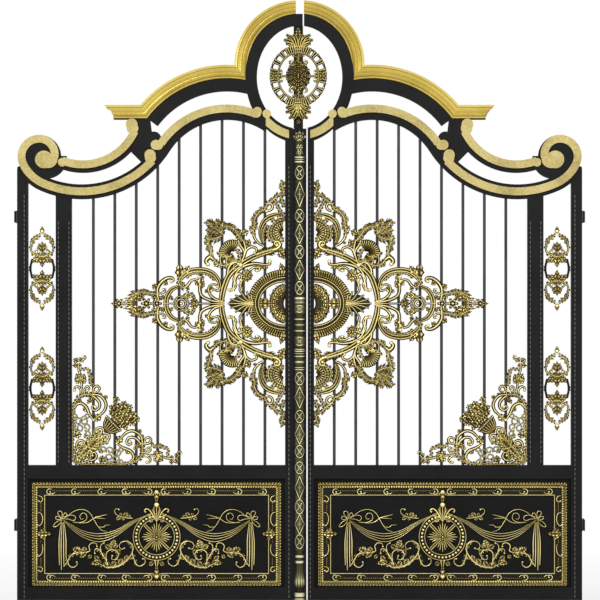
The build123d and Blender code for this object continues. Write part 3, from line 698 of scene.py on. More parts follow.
for x, way in ((258, 1), (551, 1), (865, 1), (1154, 1), (1451, -1)):
    for y, up in ((168, 1), (1188, -1)):
        curl(panel, [(x + way * dx, y + up * dy) for dx, dy in hook], (1.4, 2.0, 2.2, 2.0, 1.4), proud)
        stem(panel, [(x + way * dx, y + up * dy) for dx, dy in tail], (1.4, 1.8, 1.0), proud)
for start, end in ((290, 522), (590, 836), (900, 1125), (1190, 1420)):
    for y in (158, 1196):
        line = plot(panel, np.linspace((start, y), (end, y), 45))
        rib(relief, line, 2.0, proud * 0.8, wave=(11, 0.7, 0.0, 0.0, 0.4))
for places in (
    [(130, 215), (165, 228), (182, 262), (160, 290), (135, 280)],
    [(120, 415), (160, 425), (180, 480), (172, 540), (140, 575), (118, 560)],
    [(175, 790), (182, 850), (168, 905), (130, 935), (115, 915)],
    [(130, 1060), (165, 1065), (180, 1095), (158, 1120), (135, 1105)],
):
    curl(panel, places, (1.2, 1.8, 2.0, 1.8, 1.3), proud)
for start, end in ((300, 405), (590, 640), (705, 780), (950, 1045)):
    line = plot(panel, np.linspace((160, start), (160, end), 21))
    rib(relief, line, 2.0, proud * 0.8, wave=(5, 0.7, 0.0, 0.0, 0.4))
add_mirror(relief, 0)
medal_y = -2.6
for radius, width, height, section in (
    (20.4, 6.4, 0.4, dark_section), (23.4, 1.7, 1.2, plain_section), (17.8, 1.7, 1.2, plain_section),
):
    rib(relief, turn(0, medal_y, radius, radius, 0, 360, 5), width, proud * height, section)
for x, y in oval_line(20.6, 20.6, 0, 350, 36):
    dome(relief, x, medal_y + y, 1.5, proud * 1.4, columns=8)
for number in range(4):
    for lean, outer in ((-24, 11.6), (-12, 13.4), (0, 15.0), (12, 13.4), (24, 11.6)):
        way = heading(90 * number + lean) * outer
        line = np.array([way * 0.3, way * 0.6, way * 0.84, way]) + (0, medal_y)
        rib(relief, line, (0.9, 2.0, 2.7, 1.2), proud * 1.1)
    cross = np.array([heading(90 * number + 45) * reach + (0, medal_y) for reach in (2, 6, 11, 17)])
    rib(relief, cross, (2.6, 4.2, 5.0, 4.2), proud * 1.6, double_section)
flower(relief, 0, medal_y, 4.8, proud * 1.7, 8)
for way in (-1, 1):
    for petal, width, height in (
        ([(0.8, 13.5), (3.5, 19.0), (6.5, 23.5), (9.8, 25.6), (12.2, 24.0), (11.2, 21.8)],
         (1.8, 3.8, 4.0, 3.4, 3.0, 2.4), 1.5),
        ([(0.6, 16.0), (2.4, 20.5), (4.4, 25.5)], (1.4, 2.6, 1.6), 1.6),
        ([(0.6, 15.5), (5.0, 17.6), (10.0, 20.0)], (1.8, 2.6, 1.6), 1.4),
    ):
        rib(relief, smooth_line(np.multiply(petal, (way, 1))), width, proud * height)
for spread in (-2.6, 0, 2.6):
    rib(relief, smooth_line([(0, 12.5), (spread * 0.5, 18.0), (spread, 23.0), (spread, 27.5)]),
        (1.4, 2.4, 3.0, 2.4), proud * 1.8)
dome(relief, 0, 29.4, 3.0, proud * 1.9, columns=12)
leaf(relief, (0, 30.5), (0, 36.0), 2.0, proud * 1.6, lobes=2)
rib(relief, np.array([(0, -25.4), (0, -28.0), (0, -31.0), (0, -35.0)]), (8.0, 5.6, 3.4, 2.4), proud * 1.4,
    double_section)
for way in (-1, 1):
    for x, foot, tip, half in (
        (0, 35, 46.4, 3.2), (-4.2, 35, 44.6, 2.6), (4.2, 35, 44.6, 2.6), (0, 38, 31, 2.4),
    ):
        leaf(relief, (0, way * foot), (x, way * tip), half, proud * 2.2, lobes=2)
    dome(relief, 0, way * 42.4, 2.4, proud * 2.4, columns=12)
    dome(relief, 0, way * 37.8, 1.6, proud * 2.4, columns=12)
for way in (-1, 1):
    leaf(relief, (way * 119.0, 0.5), (way * 104.0, 0.5), 4.2, proud * 2.0, lobes=4)
    for y in (-5.5, 6.5):
        leaf(relief, (way * 117.5, 0.5), (way * 110.0, y), 3.2, proud * 1.8)
    flower(relief, way * 115.0, 0.5, 2.2, proud * 2.2, 6)
set_in_place(relief, square, relief_x, relief_y, relief_low[2])
for side, flip in sides:
    made = make_object(relief, f"{side}_gilt_panel_relief", f"{side}_leaf", patina_gold, flip)
    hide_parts(f"{side}_panel_relief")

# Centre casting: half of a pierced rosette with leaf scrolls, one on each leaf, that meet at the column.
# Cast brass, with dark patina and painted shade in its recesses and painted highlights on its ridges, riveted
# to the front of the bars. The arm and its rosette come first.
casting = new_piece()
deep = 2.6
thin = deep * 0.85
upper = Drawing(casting, x=1334.0, y=1858.0, fine=15.68, full=1.7)
arm = [(-63.7, 0.0), (-62.9, 9.0), (-60.2, 19.0), (-55.6, 29.0), (-45.5, 38.2), (-32.3, 46.2), (-16.5, 52.0),
       (-8.0, 54.5)]
rib(casting, smooth_line(arm), (5.6, 6.4, 6.4, 6.4, 6.2, 6.0, 4.4), deep, double_section)
garland(upper, [(880, 1100), (980, 1060), (1090, 1030), (1200, 1005), (1285, 1010)],
        (3.4, 5.4, 5.8, 4.6, 2.6), deep * 1.2)
curl(upper, [(1140, 1020), (1220, 990), (1255, 940), (1230, 890), (1180, 890), (1170, 930), (1205, 945)],
     (3.4, 3.0, 2.6, 2.2, 1.6), deep * 1.3)
dome(casting, -44.3, 38.4, 2.6, deep * 1.6)
fronds(upper, (
    (1250, 1000, 1322, 1165, 3.0), (1270, 1000, 1325, 1060, 2.4), (600, 1285, 470, 1315, 1.8),
    (690, 1320, 740, 1400, 2.2), (930, 1250, 1005, 1315, 2.0), (1030, 1255, 1030, 1330, 1.8),
    (1330, 1430, 1258, 1215, 2.4), (860, 1300, 905, 1345, 1.6), (1322, 1330, 1290, 1420, 1.8),
), deep, lobes=4)
for places, width in (
    ([(430, 1400), (450, 1305), (500, 1235), (560, 1215), (610, 1240)], (2.2, 2.6, 2.4, 1.6)),
    ([(660, 1290), (740, 1255), (850, 1232), (960, 1240), (1040, 1250), (1095, 1235), (1095, 1198)],
     (2.4, 2.6, 2.2, 1.8, 1.6)),
    ([(780, 1335), (850, 1292), (920, 1292), (932, 1330), (893, 1342)], (1.6, 1.8, 1.4)),
    ([(520, 1660), (538, 1530), (570, 1430), (612, 1392), (652, 1430), (640, 1490)], (2.0, 2.4, 2.0, 1.4)),
    ([(640, 1300), (580, 1370), (552, 1470), (540, 1560), (500, 1640), (455, 1640)],
     (2.0, 2.2, 2.0, 1.6, 1.4)),
):
    curl(upper, places, width, thin)
for places, width in (
    ([(-46.0, 34.5), (-49.5, 29.0), (-51.3, 24.0), (-49.0, 18.5), (-51.5, 14.0), (-56.0, 12.4)],
     (2.2, 3.0, 3.0, 2.6, 1.8)),
    ([(-42.5, 24.0), (-44.5, 18.0), (-45.0, 13.0), (-42.0, 8.5)], (2.0, 3.0, 2.8, 1.8)),
    ([(-47.0, 26.0), (-44.0, 22.0), (-46.5, 17.5)], (1.6, 2.4, 1.6)),
):
    rib(casting, smooth_line(places), width, thin)
for angle in range(0, 360, 40):
    way = heading(angle)
    leaf(casting, (-38.6, 28.2) + way * 0.8, (-38.6, 28.2) + way * 7.0, 2.8, deep)
for x, y, radius in (
    (-38.6, 28.2, 4.4), (-3.5, 15.5, 3.0), (-8.5, 12.5, 3.4), (-4.0, 9.0, 3.6), (-11.8, 7.5, 3.2),
    (-8.0, 4.0, 3.4), (-13.5, 2.6, 2.4),
):
    flower(casting, x, y, radius, deep * 1.3, 5)
for base, tip, half in (
    ((-6, 10), (-13, 14), 2.6), ((-2, 12), (-3, 20.5), 2.6), ((-10, 6), (-16, 9), 2.4),
    ((-5, 13), (-9, 18), 2.4), ((-15, 1.0), (-27.5, 4.5), 3.0), ((-16, 1.0), (-22.0, 6.0), 2.4),
):
    leaf(casting, base, tip, half, deep * 1.2)

# The diagonal cluster of the centre casting: a fan shell in a leafy wreath, with a square leaf corner.
# It is part of the same casting, joined to the big arm at its knot.
shell(casting, -52.6, 50.3, 1.5, 14.0, 52, 140, deep * 1.1, 13)
shell(casting, -52.6, 50.3, 1.5, 9.5, 192, 110, deep, 9)
for places, width in (
    ([(285, 1040), (330, 1105), (410, 1125), (500, 1110)], (2.4, 4.0, 4.0, 2.4)),
    ([(205, 1150), (260, 1225), (340, 1262), (430, 1255), (520, 1205), (600, 1190)],
     (2.4, 3.4, 3.8, 3.6, 3.0, 2.2)),
    ([(120, 780), (128, 880), (150, 960), (168, 1040), (165, 1100), (212, 1165)], (3.4, 3.4, 3.0, 2.8, 2.4)),
    ([(320, 620), (400, 650), (480, 662), (545, 705), (595, 775), (640, 835), (685, 885)],
     (3.6, 5.0, 4.6, 5.2, 5.0, 4.6, 2.6)),
    ([(560, 990), (615, 1080), (640, 1190)], (2.2, 3.4, 2.4)),
    ([(340, 800), (250, 840), (150, 850), (95, 820)], (4.2, 4.6, 4.2, 2.2)),
    ([(345, 780), (345, 680), (350, 590)], (3.6, 4.2, 2.2)),
    ([(330, 760), (240, 690), (150, 610), (108, 560)], (5.0, 6.0, 5.6, 2.6)),
    ([(320, 740), (270, 640), (235, 565)], (4.0, 4.6, 2.4)),
    ([(290, 770), (190, 730), (105, 690)], (4.0, 4.6, 2.4)),
):
    garland(upper, places, width, deep)
for places, width in (
    ([(330, 1110), (318, 1180), (335, 1250)], 1.5), ([(415, 1115), (410, 1190), (430, 1250)], 1.5),
    ([(195, 950), (178, 1030), (200, 1110)], 1.3),
    ([(600, 870), (640, 955), (690, 1030), (690, 1110), (650, 1215)], 2.0),
    ([(685, 885), (705, 960), (712, 1040), (690, 1120)], 2.0),
):
    stem(upper, places, width, thin)
curl(upper, [(212, 1165), (160, 1130), (115, 1160), (95, 1205), (125, 1242)], (2.4, 3.0, 2.8, 1.8), deep)
curl(upper, [(705, 1065), (740, 1005), (800, 970), (870, 985), (890, 1025), (858, 1062)],
     (1.6, 2.0, 1.8, 1.3), thin)
fronds(upper, (
    (130, 880, 68, 935, 2.0), (150, 990, 82, 1015, 1.8), (270, 1225, 222, 1278, 1.8),
    (480, 670, 570, 655, 2.2), (620, 805, 555, 835, 2.2), (650, 770, 765, 715, 2.4),
    (690, 790, 700, 720, 1.8), (730, 965, 785, 845, 2.2), (722, 945, 688, 865, 1.8), (120, 620, 95, 560, 2.0),
    (600, 770, 640, 715, 2.0), (230, 560, 330, 585, 2.0),
), deep)
for place, radius in (((205, 690), 3.0), ((285, 735), 2.6), ((140, 760), 2.4), ((270, 620), 2.4)):
    rose(upper, place, radius, deep * 1.3, 6)

# The top cluster of the centre casting: half a gadrooned shell in a ridged scroll, under a leaf garland.
# It rises along the meeting stile to a small sprig.
stem(upper, [(990, 950), (925, 915), (865, 845), (842, 790)], (1.7, 1.7, 2.0), thin)
stem(upper, [(990, 925), (955, 840), (942, 740), (962, 650), (1005, 570), (1075, 512), (1150, 482),
             (1230, 466), (1280, 492)],
     (1.2, 1.6, 2.2, 2.6, 3.0, 3.4, 3.4, 2.8, 1.4), deep * 1.1, double_section)
dome(casting, -9.2, 85.2, 2.5, deep * 1.4)
shell(casting, -1.6, 71.0, 1.5, 9.6, 92, 165, deep * 1.1, 9)
for angle in range(98, 256, 13):
    way = heading(angle)
    leaf(casting, (-1.6, 71.0) + way * 8.8, (-1.6, 71.0) + way * 15.2, 2.6, deep * 1.2, lobes=2)
curl(upper, [(1040, 300), (1105, 290), (1140, 335), (1110, 390), (1045, 412)], (1.6, 2.0, 1.8, 1.4), thin)
for places, width in (
    ([(842, 800), (834, 720), (850, 640), (852, 560), (885, 480), (935, 420), (1010, 388)],
     (2.4, 3.6, 3.6, 3.6, 3.4, 3.0, 2.2)),
    ([(1010, 388), (1050, 310), (1110, 260), (1170, 215), (1230, 150), (1300, 145)],
     (2.4, 3.0, 3.2, 2.8, 2.6, 1.6)),
    ([(1170, 235), (1210, 330), (1265, 410), (1312, 480), (1318, 560)], (1.8, 2.2, 2.4, 2.4, 1.8)),
    ([(1250, 150), (1280, 230), (1300, 300), (1326, 350)], (1.6, 2.4, 2.4, 1.4)),
    ([(1326, 180), (1308, 110), (1296, 40), (1275, -20), (1290, -75)], (2.0, 2.8, 2.8, 2.2, 1.2)),
    ([(1105, 640), (1068, 740), (1085, 830), (1150, 880), (1240, 880), (1315, 850)],
     (2.0, 2.8, 2.8, 2.8, 2.6, 1.8)),
    ([(1000, 905), (985, 800), (1000, 700), (1040, 620)], (2.0, 3.0, 3.0, 2.0)),
    ([(1100, 560), (1180, 530), (1260, 545)], 2.4),
):
    garland(upper, places, width, deep)
fronds(upper, (
    (845, 715, 772, 640, 2.0), (850, 590, 812, 488, 1.8), (890, 475, 902, 390, 1.8),
    (950, 412, 970, 330, 1.8), (845, 680, 905, 650, 1.8), (1130, 250, 1128, 190, 1.8),
    (1195, 190, 1205, 130, 1.6), (1300, 60, 1240, -5, 1.8), (1300, 0, 1335, -50, 1.6),
    (1270, 230, 1240, 290, 1.6), (870, 880, 845, 930, 1.4), (1290, 120, 1330, 60, 1.6),
), deep)

# The left branch of the centre casting: reeded stem, leaf scrolls in a ridged hoop, a ring boss, and a wreath
# with a bud. It runs across the bars to its tip near the pilaster post.
left = Drawing(casting, x=2017.0, y=599.0, fine=11.2, full=1.6)
for places, width in (
    ([(1340, 588), (1220, 572), (1130, 543), (1078, 505), (1060, 440), (1062, 370), (1052, 300)],
     (2.6, 2.6, 2.4, 2.4, 2.0, 1.6)),
    ([(1330, 580), (1240, 552), (1182, 505), (1160, 445), (1178, 395), (1232, 385), (1262, 412)],
     (2.4, 2.2, 2.0, 1.6, 1.3)),
    ([(1288, 425), (1265, 455), (1218, 442), (1190, 458)], (2.0, 1.7, 1.3)),
    ([(890, 425), (932, 388), (965, 345), (1012, 330), (1050, 348)], (2.2, 2.2, 1.8, 1.3)),
    ([(600, 560), (588, 490), (592, 425), (630, 362), (690, 318), (748, 312), (766, 338), (745, 352)],
     (2.0, 2.4, 2.8, 2.8, 2.4, 1.6)),
    ([(595, 482), (635, 484), (668, 466), (674, 442), (652, 440)], (1.5, 1.7, 1.3)),
    ([(290, 562), (255, 552), (218, 560)], (2.0, 1.6, 1.8)),
    ([(930, 480), (905, 505), (925, 530), (960, 520)], (1.8, 1.8, 1.3)),
):
    curl(left, places, width, thin)
hoop = [(1288, 425), (1272, 345), (1225, 278), (1150, 236), (1060, 222), (970, 232), (900, 268), (845, 325)]
stem(left, hoop, (2.4, 3.0, 3.4, 3.6, 3.6, 3.4, 3.0), deep, double_section)
stem(left, [(818, 410), (752, 440), (706, 500), (687, 560), (684, 599)], (2.4, 3.2, 3.4, 3.4), deep,
     double_section)
for places, width in (
    ([(1240, 345), (1165, 280), (1062, 256), (975, 266), (905, 310)], 1.7),
    ([(845, 315), (826, 355), (848, 400), (892, 425)], (2.8, 4.0, 3.8, 2.2)),
    ([(880, 535), (918, 492), (968, 500), (1015, 535)], (1.8, 2.4, 2.2, 1.6)),
    ([(1062, 420), (1062, 340), (1075, 290)], (1.6, 2.6, 1.6)),
    ([(605, 508), (560, 492), (480, 482), (420, 470), (352, 482), (310, 520), (293, 565), (290, 599)],
     (2.2, 2.8, 3.6, 4.4, 5.0, 5.0, 4.6, 4.4)),
):
    garland(left, places, width, deep)
fronds(left, (
    (850, 335, 830, 138, 3.4), (880, 285, 948, 172, 2.6), (862, 300, 893, 205, 2.0),
    (1065, 440, 1112, 335, 2.0), (1060, 400, 1005, 335, 2.0), (1065, 330, 1115, 295, 1.6),
    (650, 352, 708, 388, 2.0), (592, 432, 526, 386, 2.4), (1050, 580, 948, 562, 2.2),
    (430, 472, 446, 432, 1.8), (330, 495, 296, 462, 1.8), (1170, 450, 1215, 410, 1.6),
    (850, 400, 895, 360, 2.0), (960, 510, 985, 470, 1.6), (560, 490, 540, 455, 1.6),
    (1160, 480, 1120, 440, 1.8), (900, 420, 950, 445, 1.8), (380, 480, 375, 445, 1.6),
), deep)
add_mirror(casting, 1)
for across, up, width, height, section, wave in (
    (33.6, 30.2, 8.6, 1.0, ring_section, (44, 0.8, 0.3, 0.0, 0.16)),
    (28.2, 24.4, 4.6, 0.6, ground_section, None), (29.6, 25.8, 2.6, 1.2, plain_section, None),
    (26.4, 22.4, 2.8, 1.3, plain_section, None), (8.6, 12.6, 14.6, 0.5, ground_section, None),
):
    rib(casting, oval_line(across, up, 90, 270, 265 if wave else 41), width, deep * height, section, wave)
for angle in range(96, 270, 14):
    way = heading(angle)
    leaf(casting, way * (8.5, 11.5), way * (15.4, 19.6), 3.2, deep * 1.1)
rib(casting, np.array([(-14, 0), (-19, 0), (-24, 0), (-28.5, 0)]), (4.0, 9.0, 10.0, 6.0), deep * 0.5,
    ground_section)
leaf(casting, (-14, 0), (-28, 0), 4.4, deep * 1.3)
rib(casting, np.array([(x, 0) for x in (-31, -36, -41, -46, -51, -56)]), (5, 14, 19, 17, 11, 4), deep * 0.5,
    ground_section)
for tip_x, tip_y in ((-57.5, 0.0), (-55.0, 4.6), (-50.0, 8.8), (-44.5, 12.0), (-38.5, 12.6), (-34.0, 9.5)):
    for way in (-1, 1):
        halfway = ((tip_x - 31.5) / 2, way * tip_y * 0.3)
        rib(casting, smooth_line([(-31.5, way * 0.4), halfway, (tip_x, way * tip_y)]), (1.4, 2.4, 2.8, 2.0),
            deep * 1.2)
rib(casting, smooth_line([(-61, 0), (-75, 0), (-90, 0), (-95, 0)]), (2.8, 2.4, 2.0, 1.2), deep * 1.2)
leaf(casting, (-84, 0), (-97, 0), 3.0, deep * 1.2, lobes=4)
rib(casting, turn(-103.8, 0, 4.4, 4.4, 0, 360, 15), 3.2, deep * 1.4)
rib(casting, turn(-103.8, 0, 7.4, 7.4, 0, 360, 15), 2.0, deep)
dome(casting, -103.8, 0, 1.8, deep * 1.6)
rib(casting, smooth_line([(-111, 0), (-116, 0), (-122, 0)]), (2.2, 1.8, 2.2), deep)
flower(casting, -128.0, 0, 5.2, deep * 1.3, 5)
flower(casting, -138.5, 0, 6.0, deep * 1.3, 6)
for way in (-1, 1):
    for base, tip, half in (
        ((-149, 2), (-146.5, 12.5), 3.6), ((-150, 1.5), (-155, 10), 3.2), ((-147, 2), (-140, 9.5), 2.8),
        ((-153, 1), (-159.5, 6), 2.6), ((-130, 3), (-133, 10.5), 2.6), ((-125, 3), (-121, 9), 2.6),
        ((-112, 3), (-116, 9), 2.4),
    ):
        leaf(casting, (base[0], way * base[1]), (tip[0], way * tip[1]), half, deep)
rib(casting, smooth_line([(-131, 0), (-133, 0), (-135, 0)]), 2.0, deep)
rib(casting, smooth_line([(-154, 0), (-158, 0), (-162, 0)]), (2.8, 2.2, 2.6), deep)
flower(casting, -166.0, 0, 5.4, deep * 1.2, 6)
leaf(casting, (-165, 0), (-174.5, 0), 2.6, deep * 1.3)
low, high = gate_box("left_centre_casting")
casting_y = (low[1] + high[1]) / 2
part_backs(casting)
set_in_place(casting, square, high[0], casting_y, low[2])
for side, flip in sides:
    made = make_object(casting, f"{side}_gilt_centre_casting", f"{side}_leaf", patina_gold,
                       flip)
    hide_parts(f"{side}_centre_casting")

# Corner casting: a fluted vase with a bouquet between two spiral stems, where post and middle rail meet.
# Cast brass like the rosette, riveted to the bars. One half is drawn, and mirrored over the diagonal.
corner = new_piece()
nook = Drawing(corner, x=27.5, y=1554.0, fine=13.754, full=1.5)
for places, width in (
    ([(62, 1530), (42, 1400), (38, 1250), (40, 1100), (45, 960), (45, 840)], (1.6, 1.7, 1.6, 1.6, 1.7, 1.8)),
    ([(45, 840), (58, 740), (98, 650), (158, 602), (230, 580), (310, 582)], (2.6, 3.2, 3.4, 3.4, 3.2)),
    ([(130, 238), (200, 238), (250, 225)], (1.6, 2.2, 1.8)),
    ([(250, 215), (268, 290), (290, 350), (288, 410), (300, 470)], (1.8, 2.8, 3.0, 2.6, 1.6)),
    ([(70, 1500), (150, 1400), (230, 1310), (300, 1230), (350, 1190)], (2.4, 3.2, 3.8, 3.8, 2.8)),
    ([(350, 1190), (420, 1170), (500, 1190), (530, 1240)], (2.6, 3.4, 3.0, 2.0)),
    ([(60, 1400), (100, 1310), (200, 1292), (320, 1330)], (2.0, 2.6, 2.8, 2.0)),
    ([(345, 1060), (330, 1110), (350, 1170)], (2.2, 3.0, 2.6)),
):
    garland(nook, places, width, deep)
stem(nook, [(310, 582), (400, 592), (462, 640), (498, 720), (480, 795), (430, 852), (375, 898), (332, 945)],
     (2.2, 2.4, 2.4, 2.4, 2.2, 1.8, 1.2), deep)
for places, width in (
    ([(310, 600), (365, 640), (408, 700), (402, 768), (350, 802), (305, 775), (322, 738), (350, 755)],
     (2.4, 2.4, 2.2, 1.8, 1.6)),
    ([(60, 770), (110, 712), (172, 712), (228, 760), (268, 850), (325, 935)], (1.6, 2.4, 2.6, 2.2, 1.4)),
    ([(150, 565), (150, 520), (112, 474), (70, 488), (66, 525)], (1.7, 1.9, 1.5)),
    ([(200, 580), (206, 505), (240, 472), (268, 500), (244, 530)], (1.6, 1.8, 1.4)),
    ([(315, 575), (332, 492), (375, 466), (410, 500), (384, 548), (345, 548)], (1.6, 2.1, 1.8, 1.4)),
    ([(90, 1300), (104, 1245), (150, 1214), (203, 1240), (190, 1272), (160, 1268)], (1.9, 2.3, 1.9, 1.4)),
    ([(470, 1125), (452, 1050), (402, 1040), (358, 1062), (372, 1098)], (2.2, 2.2, 1.8, 1.4)),
    ([(180, 105), (212, 88), (210, 56), (192, 50)], (1.5, 1.5, 1.2)),
):
    curl(nook, places, width, thin)
stem(nook, [(150, 570), (165, 480), (158, 415)], 1.7, thin)
stem(nook, [(140, 300), (118, 230), (122, 150)], (1.9, 1.7, 1.7), thin)
fronds(nook, (
    (122, 140, 48, 90, 2.4), (126, 135, 188, 80, 2.4), (120, 185, 32, 186, 1.8), (120, 185, 166, 182, 1.6),
    (155, 430, 85, 290, 2.8), (155, 430, 205, 295, 2.8), (150, 425, 142, 285, 2.6), (152, 430, 60, 360, 2.2),
    (152, 430, 228, 365, 2.2), (430, 850, 326, 955, 3.0), (300, 690, 232, 660, 2.4),
    (120, 700, 160, 650, 2.0), (230, 770, 180, 810, 2.0), (100, 730, 60, 690, 1.8),
    (50, 1155, 168, 1128, 2.6), (60, 1100, 150, 1080, 2.2), (190, 1180, 250, 1135, 2.2),
    (200, 1350, 105, 1372, 2.4), (170, 1400, 66, 1425, 2.4), (255, 1290, 165, 1312, 2.4),
    (285, 1260, 235, 1175, 2.4), (315, 1225, 300, 1140, 2.6), (335, 1205, 405, 1120, 2.8),
    (380, 1190, 455, 1130, 2.4), (300, 470, 340, 430, 1.8), (280, 350, 330, 330, 1.8),
    (130, 1440, 60, 1490, 2.0), (345, 1230, 420, 1255, 2.4), (300, 1300, 390, 1320, 2.4),
    (280, 290, 240, 270, 1.6), (60, 860, 40, 800, 1.8), (470, 640, 520, 600, 1.8), (410, 600, 440, 560, 1.6),
), deep)
for number, (x, y, radius) in enumerate((
    (120, 955, 3.0), (205, 945, 3.6), (130, 1040, 3.6), (228, 1030, 3.0), (60, 890, 2.4), (245, 880, 2.2),
    (50, 1010, 2.6), (240, 1120, 2.8),
)):
    spot = plot(nook, ((x, y),))[0]
    rib(corner, turn(*spot, radius * 1.35, radius * 0.4, 80 * number, 420, 30), 1.7, thin)
for place, radius in (((145, 345), 4.0), ((300, 645), 3.6), ((305, 1215), 3.2)):
    rose(nook, place, radius, deep * 1.3, 5)
add_copy(corner, corner, lambda points: points[:, [1, 0, 2]])
along, aside = heading(45), heading(135)
flower(corner, 51.5, 51.5, 5.2, deep * 1.6, 8)
flower(corner, 57.5, 57.5, 4.0, deep * 1.4, 7)
for row, reach in enumerate((58.5, 62, 66.5, 71, 75.5)):
    for column in range(-2, 3) if row else range(-1, 2):
        spread = column * (3.8 + 0.7 * row)
        tip = along * (reach + 9.0 - 0.8 * column**2) + aside * spread * 1.15
        bend = 0.1 * (-1) ** (row + column)
        leaf(corner, along * reach + aside * spread, tip, 4.4, deep * (1.5 - 0.08 * row), bend, 3)
for start, end, width, height in (
    (46.5, 49.5, (4.0, 5.0), 1.1), (48.5, 57.6, (8.0, 14.0, 17.0, 19.0, 20.5), 1.2), (57.4, 60.4, 21.6, 1.5),
    (60.4, 65.0, (11.0, 12.2, 13.0), 1.4), (62.5, 80.0, (12.0, 20.0, 26.0, 28.0, 24.0, 12.0), 0.6),
):
    path = np.array([along * (start + (end - start) * share) for share in np.linspace(0, 1, 9)])
    rib(corner, path, width, deep * height, ground_section)
for number in range(7):
    offset = aside * (number - 3)
    foot = along * 49.0 + offset * 1.1
    rim = along * 57.2 + offset * 2.9
    rib(corner, np.array([foot, (foot + rim) / 2 + offset * 0.25, rim]), (1.4, 2.4, 2.8), deep * 1.6)
for number in range(-5, 6):
    dome(corner, *(along * 58.9 + aside * number * 1.9), 1.0, deep * 1.9, columns=7)
low, high = gate_box("left_corner_casting")
part_backs(corner)
set_in_place(corner, square, low[0], low[1], low[2])
for side, flip in sides:
    made = make_object(corner, f"{side}_gilt_corner_casting", f"{side}_leaf", patina_gold,
                       flip)
    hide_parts(f"{side}_corner_casting")

# Pilaster castings: two slim pierced plates in the narrow field between the outer stile and the post.
# Cast brass, held by short black ties to both uprights. A quarter is drawn, and mirrored to all sides.
plate = new_piece()
slim = Drawing(plate, x=222.0, y=790.0, fine=16.34, full=1.35)
garland(slim, [(196, 222), (162, 262), (120, 282), (76, 314), (48, 370), (40, 430)],
        (1.5, 2.2, 2.4, 2.0, 1.4), deep, 2.8)
stem(slim, [(40, 430), (38, 460), (46, 505), (78, 548)], (1.7, 1.6, 1.4), deep)
stem(slim, [(78, 548), (115, 502), (155, 470)], 1.5, thin)
stem(slim, [(70, 540), (120, 562), (170, 586), (220, 590)], (1.4, 1.7, 2.4), thin)
stem(slim, [(60, 632), (44, 700), (33, 755), (32, 792)], 1.7, thin, dark_section)
stem(slim, [(34, 768), (6, 768)], 1.6, thin, dark_section)
stem(slim, [(40, 440), (8, 440)], 1.5, thin, dark_section)
fronds(slim, (
    (172, 256, 108, 262, 1.8), (135, 280, 68, 290, 2.0), (92, 305, 54, 372, 2.0), (150, 270, 130, 320, 1.8),
    (60, 350, 95, 385, 1.6), (216, 490, 138, 425, 2.0), (216, 470, 165, 372, 2.0), (190, 592, 58, 640, 2.0),
    (170, 600, 52, 700, 2.2), (200, 600, 130, 700, 2.0), (205, 560, 150, 540, 1.8), (78, 548, 50, 580, 1.4),
), deep)
dome(plate, -5.6, 16.2, 1.5, deep * 1.2, columns=10)
add_mirror(plate, 0)
leaf(plate, (0, 34.6), (0, 42.4), 2.6, deep)
dome(plate, 0, 37.2, 2.1, deep * 1.2)
leaf(plate, (0, 15.5), (0, 27.6), 3.0, deep * 1.2)
flower(plate, 0, 13.6, 3.4, deep * 1.3, 5)
leaf(plate, (0, 12.4), (0, 0.9), 3.4, deep * 1.2)
add_mirror(plate, 1)
plate_brightness = 0.92
plate["relief"] = [tones * plate_brightness for tones in plate["relief"]]
half_thickness = 0.008
set_in_place(plate, square, 0.0, 0.0, 0.0)
for points in plate["points"]:
    points[:, 2] *= half_thickness / (deep * square)
add_mirror(plate, 2)
post_low, post_high = gate_box("left_pilaster_castings")
plate_x = (post_low[0] + post_high[0]) / 2
plate_half = 42.5 * square
for side, flip in sides:
    both = new_piece()
    for y in (post_low[1] + plate_half, post_high[1] - plate_half):
        add_copy(both, plate, lambda points: points + np.array([plate_x, y, 0.0]))
    made = make_object(both, f"{side}_gilt_pilaster_plates", f"{side}_leaf", patina_gold, flip)
    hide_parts(f"{side}_pilaster_castings")

# Gold strips of the crest: flat steel bent on edge along the S-sweep and the arch, with rounded ends.
# Painted pale gold, on both faces of the black crest plate, and a little uneven from the brush.
pale_gold = finish(
    "pale_gold", ((0.2, (152, 136, 84)), (0.5, (190, 173, 110)), (0.8, (212, 195, 136))),
    60.0, 0.0, 0.9, (0.5, 0.38), (0.35, 0.5), 0.3, 0.1,
)
coat(["left_scroll_strips", "right_scroll_strips"], pale_gold)

# Cornice: a stepped moulding over crown, shoulder and ledge, with a mitred return at its outer end.
# Pressed sheet, gilded an olive yellow, its colour a little darker over the crown, with painted shade in the
# creases of its steps and painted highlights on their edges, screwed down on the crest plate.
gold_cornice = finish(
    "gold_cornice",
    ((0.1, (60, 48, 16)), (0.4, (152, 128, 48)), (0.7, (204, 178, 78)), (0.95, (236, 212, 116))),
    160.0, 1.0, 0.35, (0.5, 0.34), (0.4, 0.65), 0.4, 0.2,
)
ledge_y = 3.0712
ledge_left = -1.185
shoulder_centre = (-0.4631, 2.6919)
shoulder_radius = 0.6347
crown_centre = (0.0, 3.4094)
crown_radius = 0.3285
cornice_height = 0.085
cornice_overhang = 0.055
cornice_depths = (0.028, 0.045)
cornice_ends = {"left": -0.024, "right": -0.028}
ledge_steps, shoulder_steps, crown_steps = 9, 30, 44
# The colour is made a little darker along the crown, station by station.
crown_dim_stations = (0, 9, 38, 44, 60, 83)
crown_dim_shares = (1.0, 1.0, 0.9, 0.82, 0.82, 0.88)
ring_axes = (0.3453, 0.4185)
ring_y = 3.3349
ring_top = 3.5084
